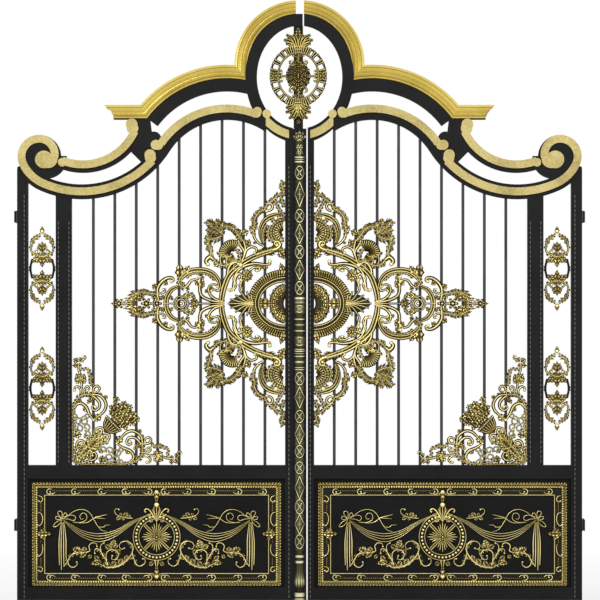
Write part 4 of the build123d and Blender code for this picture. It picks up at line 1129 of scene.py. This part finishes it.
# Profile points: share of the height, step out and tone; low tones paint shade in the creases, high tones
# paint highlights on the step edges.
cornice_profile = (
    (0.0, 0.0, 0.3), (0.05, 0.06, 0.7), (0.12, 0.06, 0.85), (0.13, 0.0, 0.25), (0.34, 0.0, 0.7),
    (0.35, 0.22, 0.75), (0.38, 0.3, 0.95), (0.42, 0.22, 0.4), (0.56, 0.26, 0.75), (0.62, 0.42, 0.85),
    (0.70, 0.62, 0.9), (0.71, 0.78, 0.95), (0.76, 0.8, 0.9), (0.77, 0.7, 0.3), (0.82, 0.84, 0.75),
    (0.90, 1.0, 1.0), (1.0, 1.0, 0.8),
)


def circles_meet(first, first_radius, second, second_radius):
    """The left one of the two places where two circles cross."""
    dx, dy = second[0] - first[0], second[1] - first[1]
    apart = hypot(dx, dy)
    along = (apart**2 + first_radius**2 - second_radius**2) / (2 * apart)
    aside = sqrt(first_radius**2 - along**2)
    return first[0] + (along * dx - aside * dy) / apart, first[1] + (along * dy + aside * dx) / apart


def cornice_line(offset, reach, end):
    """The cornice's line at an offset over its foot: ledge, shoulder and crown, with as many stations."""
    ledge = ledge_y + offset
    outer = shoulder_radius + offset
    turn_x = shoulder_centre[0] - sqrt(outer**2 - (ledge - shoulder_centre[1]) ** 2)
    straight = np.stack([np.linspace(ledge_left - reach, turn_x, ledge_steps), np.full(ledge_steps, ledge)],
                        axis=1)
    meet = circles_meet(shoulder_centre, outer, crown_centre, crown_radius + offset)
    start = degrees(atan2(ledge - shoulder_centre[1], turn_x - shoulder_centre[0]))
    stop = degrees(atan2(meet[1] - shoulder_centre[1], meet[0] - shoulder_centre[0]))
    first = degrees(atan2(meet[1] - crown_centre[1], meet[0] - crown_centre[0])) % 360
    last = degrees(acos(end / (crown_radius + offset)))
    shoulder = turn(*shoulder_centre, outer, outer, start, stop - start,
                    abs(stop - start) / (shoulder_steps + 0.5))
    radius = crown_radius + offset
    crown = turn(*crown_centre, radius, radius, first, last - first, abs(last - first) / (crown_steps + 0.5))
    return np.concatenate([straight, shoulder[1:], crown[1:]])


for side, flip in sides:
    cornice = new_piece()
    loop = []
    for share, step, tone in cornice_profile:
        depth = cornice_depths[0] + step * (cornice_depths[1] - cornice_depths[0])
        loop.append((share * cornice_height, step * cornice_overhang, depth, tone))
    loop += [(offset, reach, -depth, tone) for offset, reach, depth, tone in reversed(loop)]
    lines = [(cornice_line(offset, reach, cornice_ends[side]), depth) for offset, reach, depth, tone in loop]
    net = np.stack([np.column_stack([line, np.full(len(line), depth)]) for line, depth in lines], axis=1)
    ring_x = -ring_axes[0] * np.sqrt(np.maximum(1 - ((net[:, :, 1] - ring_y) / ring_axes[1]) ** 2, 0.0))
    net[:, :, 0] = np.where(net[:, :, 1] < ring_top, np.minimum(net[:, :, 0], ring_x), net[:, :, 0])
    crown_dim = np.interp(np.arange(len(net)), crown_dim_stations, crown_dim_shares)
    tones = np.array([tone for offset, reach, depth, tone in loop])[None, :] * crown_dim[:, None]
    add_net(cornice, net, tones)
    made = make_object(cornice, f"{side}_gilt_cornice", f"{side}_leaf", gold_cornice, flip,
                       30.0)
    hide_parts(f"{side}_cornice")

# Oval medallion: a ribbed and pierced oval wreath round a leafy boss, with leaf plumes above and below.
# Cast brass, screwed to the front of the bar in the crown's oval.
medallion = new_piece()
oval = Drawing(medallion, x=540.0, y=780.0, fine=15.08, full=1.3)
for places in (
    [(512, 350), (480, 262), (440, 205), (392, 180), (362, 152)],
    [(495, 345), (440, 275), (382, 246), (318, 238)],
    [(527, 350), (512, 245), (490, 185), (468, 150)], [(500, 355), (450, 310), (395, 292), (350, 296)],
    [(520, 1200), (475, 1272), (410, 1310), (348, 1328)],
    [(530, 1205), (492, 1300), (445, 1385), (398, 1422)],
    [(536, 1205), (520, 1320), (490, 1400), (468, 1436)],
    [(505, 1195), (440, 1230), (390, 1250), (352, 1262)],
):
    stem(oval, places, (2.0, 3.4, 4.0, 3.4, 1.8), deep, double_section)
for places, width in (
    ([(540, 370), (540, 310), (540, 250), (540, 190)], (9.0, 15.0, 15.0, 9.0)),
    ([(540, 1185), (540, 1250), (540, 1320), (540, 1390)], (9.0, 15.0, 15.0, 9.0)),
):
    stem(oval, places, width, deep * 0.4, ground_section)
curl(oval, [(500, 600), (460, 620), (425, 600), (410, 565), (440, 548)], (1.8, 2.2, 1.8, 1.4), thin)
curl(oval, [(500, 960), (460, 940), (425, 965), (410, 1005), (440, 1022)], (1.8, 2.2, 1.8, 1.4), thin)
rose(oval, (205, 780), 4.4, deep * 1.8, 7)
side_tips = ((128, 745), (128, 815), (170, 705), (170, 855), (285, 745), (285, 815))
fronds(oval, [(210, 780, x, y, 2.4) for x, y in side_tips], deep * 1.5, lobes=2)
curl(oval, [(235, 745), (255, 705), (285, 700), (290, 728)], (1.6, 1.8, 1.4), thin)
curl(oval, [(235, 815), (258, 855), (290, 860), (300, 835)], (1.6, 1.8, 1.4), thin)
stem(oval, [(280, 780), (330, 783), (370, 783)], (2.4, 1.8, 2.2), thin)
fronds(oval, ((510, 490, 448, 420, 2.4), (510, 1060, 452, 1130, 2.2)), deep)
add_mirror(medallion, 0)
garland(oval, [(540, 385), (540, 440), (540, 580)], (6.0, 5.0, 4.0), deep)
garland(oval, [(540, 980), (545, 1080), (545, 1170)], (4.0, 5.0, 6.0), deep)
stem(oval, [(478, 378), (602, 378)], 2.6, deep * 1.4)
stem(oval, [(480, 1180), (600, 1180)], 2.6, deep * 1.4)
fronds(oval, ((538, 215, 536, 35, 3.2), (545, 1195, 548, 1425, 3.4)), deep * 1.2, lobes=4)
rose(oval, (548, 1475), 3.2, deep * 1.1, 5)
slot_angles = (19.7, 39.9, 58.4)
slot_half = 3.6
for angle in np.arange(2.5, 360, 5.0):
    from_side = min(angle % 180, 180 - angle % 180)
    if min(abs(from_side - slot) for slot in slot_angles) < slot_half:
        continue
    way = heading(angle)
    rib(medallion, np.array([way * (20.6, 23.6), way * (23.5, 26.2), way * (28.0, 30.2)]), (2.0, 2.5, 3.0),
        deep)
for across, up, width, height, wave in (
    (27.5, 29.8, 2.6, 0.9, (36, 0.5, 0.0, 0.0, 0.35)), (20.3, 23.3, 2.2, 1.2, None),
):
    rib(medallion, oval_line(across, up, 0, 360, 217 if wave else 61), width, deep * height, wave=wave)
rib(medallion, np.array([(0, -16.0), (0, -12.5), (0, -7), (0, 0), (0, 7), (0, 12.5), (0, 16.0)]),
    (8.0, 16.4, 23.4, 25.6, 23.4, 16.4, 8.0), deep * 0.5, ground_section)
for across, up, count, length in ((8.2, 10.8, 13, 4.6), (4.6, 6.8, 10, 4.4), (1.8, 3.2, 7, 3.6)):
    for number in range(count):
        way = heading(360 * number / count + degrees(across))
        leaf(medallion, way * (across, up), way * (across + length, up + length), 3.0, deep * 1.2, lobes=2)
rib(medallion, np.array([(0, -2.6), (0, 0), (0, 2.6)]), (1.8, 3.4, 1.8), deep * 1.6)
medallion_brightness = 0.91
medallion["relief"] = [tones * medallion_brightness for tones in medallion["relief"]]
low, high = gate_box("oval_medallion")
medallion_x = (low[0] + high[0]) / 2 - square * 1.3
medallion_y = (low[1] + high[1]) / 2 + square
part_backs(medallion)
set_in_place(medallion, square, medallion_x, medallion_y, low[2])
made = make_object(medallion, "gilt_oval_medallion", "left_leaf", patina_gold)
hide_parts("oval_medallion")

# Column: a half-round staff on the meeting bar, with turned rings, drums and a chain of ovals and lozenges.
# Cast brass in lengths, in a paler antique gold with a dark ground, screwed on from behind. Its rings and
# knobs carry painted highlights, with painted shade at their edges and in the flutes.
column_gold = finish(
    "column_gold",
    ((0.2, (22, 21, 12)), (0.42, (68, 64, 34)), (0.66, (154, 149, 98)), (0.9, (234, 228, 188))),
    230.0, 1.0, 0.35, (0.55, 0.35), (0.2, 0.6), 0.3, 0.25,
)
column_low, column_high = gate_box("centre_column")
column_seat = column_low[2]
staff_radius = column_high[2] - column_seat
staff_columns = 17
staff_share = 0.86
column = new_piece()


def turning(piece, profile, flutes=0):
    """A half-round turned length. Its profile gives heights in squares, shares of the radius, and tones."""
    angle = np.linspace(0, np.pi, staff_columns)
    net, tones = [], []
    for height, share, tone in profile:
        groove = np.abs(np.cos(flutes * angle / 2)) if flutes else np.ones_like(angle)
        r = staff_radius * share * (0.9 + 0.1 * groove)
        net.append(np.stack([r * np.cos(angle), np.full(staff_columns, height * square), r * np.sin(angle)],
                            axis=1))
        # The flutes are painted darker: patina and painted shade in the grooves.
        tones.append(tone * (0.2 + 0.8 * groove))
    add_net(piece, np.array(net), np.array(tones))


def gold_ring(low, high, share=1.0):
    """A turned band between two heights."""
    middle = (low + high) / 2
    # The band's tones paint a highlight across its middle and shade at its edges.
    turning(column, ((low, share * 0.9, 0.2), (low + 0.3, share, 0.8), (middle, share, 1.0),
                     (high - 0.3, share, 0.8), (high, share * 0.9, 0.2)))


def ball(low, high, share):
    """A turned knob between two heights."""
    # The knob's tones paint a highlight round its widest part and shade towards its ends.
    rows = [(low + (high - low) * (1 - np.cos(a)) / 2, max(share * np.sin(a), 0.3), 0.75 * np.sin(a))
            for a in np.linspace(0.15, np.pi - 0.15, 9)]
    turning(column, rows)


top = (column_high[1] - column_low[1]) / square
turning(column, ((36.0, 0.7, 0.36), (49.5, 0.7, 0.36), (50.0, staff_share, 0.46), (229.0, staff_share, 0.46),
                 (231.0, staff_share, 0.36), (top - 12, staff_share, 0.36)))
turning(column, ((0.0, 1.0, 0.7), (2.2, 1.0, 0.85), (2.4, 0.9, 0.2)))
gold_ring(3.3, 8.0)
turning(column, ((2.4, 0.7, 0.3), (10.0, 0.7, 0.3), (12.0, 0.76, 0.35), (14.0, 0.92, 0.6), (17.0, 1.0, 0.95),
                 (20.0, 0.98, 0.95), (23.0, 0.86, 0.7), (27.0, 0.74, 0.55), (32.0, 0.68, 0.5),
                 (36.4, 0.7, 0.5)), 11)
gold_ring(37.0, 39.8, 0.84)
gold_ring(42.6, 45.4, 0.84)
for low, high in (
    (230, 231.2), (231.9, 233.1), (243, 244.5), (246, 247), (248, 249.6), (250, 251.4), (268.4, 270),
    (280, 281.6), (296.6, 297.8), (298.4, 299.4), (300.4, 303), (437, 439), (439.8, 441), (441.6, 443.4),
):
    gold_ring(low, high)
for low, high in ((235.4, 240.6), (272.8, 277.4)):
    ball(low, high, 0.95)
for low, high in ((253, 264.4), (286, 296)):
    turning(column, ((low, 0.9, 0.2), (low + 1.0, 0.97, 0.5), (high - 1.0, 0.97, 0.5), (high, 0.9, 0.2)))

chain = new_piece()
chain_half = 4.7
spoke_length = 3.3
chain_sink = 0.001
ovals = ((51.3, 66.3), (86, 101.3), (126, 139), (142, 155.4), (177, 190.4), (214.6, 228.2), (305, 319),
         (341, 355), (377, 391), (420, 434))
lozenges = ((66.3, 86), (101.3, 124), (156, 176), (192, 213.4), (320, 340), (356, 376), (393, 418))
for low, high in ovals + ((254, 263.4), (287, 295)):
    middle = (low + high) / 2
    reach = (high - low) / 2 - 0.6
    rib(chain, oval_line(chain_half * 0.9, reach, 0, 360, 33) + (0, middle), 2.6, 0.9)
    for spoke in oval_line(spoke_length, reach * 0.75, 45, 315, 4):
        rib(chain, [spoke * share + (0, middle) for share in (0.15, 0.6, 1.0)], (1.6, 2.2, 1.6), 0.8)
    flower(chain, 0, middle, 2.0, 1.0, 4)
for low, high in lozenges:
    middle = (low + high) / 2
    for way in (-1, 1):
        shares = np.linspace(-1, 1, 17)
        path = np.stack([way * chain_half * (1 - np.abs(shares)), middle + shares * (high - low) / 2], axis=1)
        rib(chain, path, 2.4, 0.9)
    flower(chain, 0, middle, 2.3, 0.9, 4)
    for way in (-1, 1):
        leaf(chain, (0, middle + way * 2), (0, middle + way * 6.5), 1.3, 0.8, lobes=2)
flower(chain, 0, 452, 4.6, 1.3, 6)
for y, angle, length, half in (
    (458, 45, 10, 2.2), (458, 68, 12, 2.2), (458, 90, 12, 2.4), (458, 112, 12, 2.2), (458, 135, 10, 2.2),
    (450, 60, 6, 2.0), (450, 120, 6, 2.0), (450, 270, 7, 2.2), (450, 235, 6, 1.8), (450, 305, 6, 1.8),
):
    way = heading(angle)
    leaf(chain, (0, y) + way, (0, y) + way * length, half, 1.2)
for points in chain["points"]:
    points *= square
    rise = np.maximum((staff_radius * staff_share) ** 2 - points[:, 0] ** 2, 0.0)
    points[:, 2] += np.sqrt(rise) - chain_sink
add_copy(column, chain, lambda points: points)
set_in_place(column, 1.0, 0.0, column_low[1], column_seat)
made = make_object(column, "gilt_centre_column", "left_leaf", column_gold)
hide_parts("centre_column")

# The studio: a pale floor under the gate, white surroundings, and two large soft lamps in front.
# The camera stands far back and square to the gate, so that the leaves look flat on.
floor_gap = 0.012
floor_reach = 60.0
floor_mesh = bpy.data.meshes.new("floor")
corners = [(x * floor_reach, y * floor_reach) for x, y in ((-1, -1), (1, -1), (1, 1), (-1, 1))]
floor_mesh.from_pydata([(gate_x + x, y, foot_z - floor_gap) for x, y in corners], [], [(0, 1, 2, 3)])
floor = bpy.data.objects.new("floor", floor_mesh)
bpy.context.scene.collection.objects.link(floor)
floor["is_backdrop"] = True
floor_finish = bpy.data.materials.new("pale_floor")
floor_finish.use_nodes = True
nodes, links = floor_finish.node_tree.nodes, floor_finish.node_tree.links
shader = nodes["Principled BSDF"]
set_inputs(shader, {"Base Color": (0.86, 0.86, 0.86, 1.0), "Roughness": 0.9})
glow = nodes.new("ShaderNodeEmission")
ray = nodes.new("ShaderNodeLightPath")
place = nodes.new("ShaderNodeTexCoord")
parts = nodes.new("ShaderNodeSeparateXYZ")
away = nodes.new("ShaderNodeMath")
away.operation = "ABSOLUTE"
fade = nodes.new("ShaderNodeMapRange")
set_inputs(fade, {"From Min": 0.3, "From Max": 5.0, "To Min": 0.78, "To Max": 1.0})
share = nodes.new("ShaderNodeMath")
share.operation = "MULTIPLY"
mix = nodes.new("ShaderNodeMixShader")
links.new(place.outputs["Object"], parts.inputs["Vector"])
links.new(parts.outputs["Y"], away.inputs[0])
links.new(away.outputs["Value"], fade.inputs["Value"])
links.new(fade.outputs["Result"], share.inputs[1])
links.new(ray.outputs["Is Camera Ray"], share.inputs[0])
links.new(share.outputs["Value"], mix.inputs["Fac"])
links.new(shader.outputs["BSDF"], mix.inputs[1])
links.new(glow.outputs["Emission"], mix.inputs[2])
links.new(mix.outputs["Shader"], nodes["Material Output"].inputs["Surface"])
floor_mesh.materials.append(floor_finish)

world = bpy.data.worlds.new("studio")
bpy.context.scene.world = world
world.use_nodes = True
nodes, links = world.node_tree.nodes, world.node_tree.links
soft = nodes["Background"]
set_inputs(soft, {"Color": (1.0, 1.0, 1.0, 1.0), "Strength": 0.5})
white = nodes.new("ShaderNodeBackground")
set_inputs(white, {"Color": (1.0, 1.0, 1.0, 1.0), "Strength": 1.0})
ray = nodes.new("ShaderNodeLightPath")
seen = nodes.new("ShaderNodeMath")
seen.operation = "MAXIMUM"
also = nodes.new("ShaderNodeMath")
also.operation = "MAXIMUM"
mix = nodes.new("ShaderNodeMixShader")
links.new(ray.outputs["Is Camera Ray"], seen.inputs[0])
links.new(ray.outputs["Is Glossy Ray"], seen.inputs[1])
links.new(seen.outputs["Value"], also.inputs[0])
links.new(ray.outputs["Is Transmission Ray"], also.inputs[1])
links.new(also.outputs["Value"], mix.inputs["Fac"])
links.new(soft.outputs["Background"], mix.inputs[1])
links.new(white.outputs["Background"], mix.inputs[2])
links.new(mix.outputs["Shader"], nodes["World Output"].inputs["Surface"])

gate_middle = (cad_low.z + cad_high.z) / 2
for name, place, size, power in (
    ("key_lamp", (-5.0, -9.0, 6.5), 3.0, 660.0), ("fill_lamp", (6.0, -10.0, 2.5), 4.0, 260.0),
):
    lamp = bpy.data.lights.new(name, "AREA")
    lamp.size = size
    lamp.energy = power
    holder = bpy.data.objects.new(name, lamp)
    bpy.context.scene.collection.objects.link(holder)
    holder.location = (gate_x + place[0], place[1], gate_middle + place[2])
    aim = -np.array(place)
    holder.rotation_euler = (atan2(hypot(aim[0], aim[1]), -aim[2]), 0.0, atan2(-aim[0], aim[1]))

view_width = 3.827
camera_distance = 24.0
camera_x = gate_x + 0.0026
camera_z = 1.4356
camera_data = bpy.data.cameras.new("camera")
camera_data.sensor_width = 36.0
camera_data.lens = camera_data.sensor_width * camera_distance / view_width
camera_data.clip_end = 200.0
camera = bpy.data.objects.new("camera", camera_data)
bpy.context.scene.collection.objects.link(camera)
camera.location = (camera_x, -camera_distance, camera_z)
camera.rotation_euler = (radians(90), 0.0, 0.0)
bpy.context.scene.camera = camera
bpy.context.scene.view_settings.view_transform = "Standard"

low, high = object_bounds()
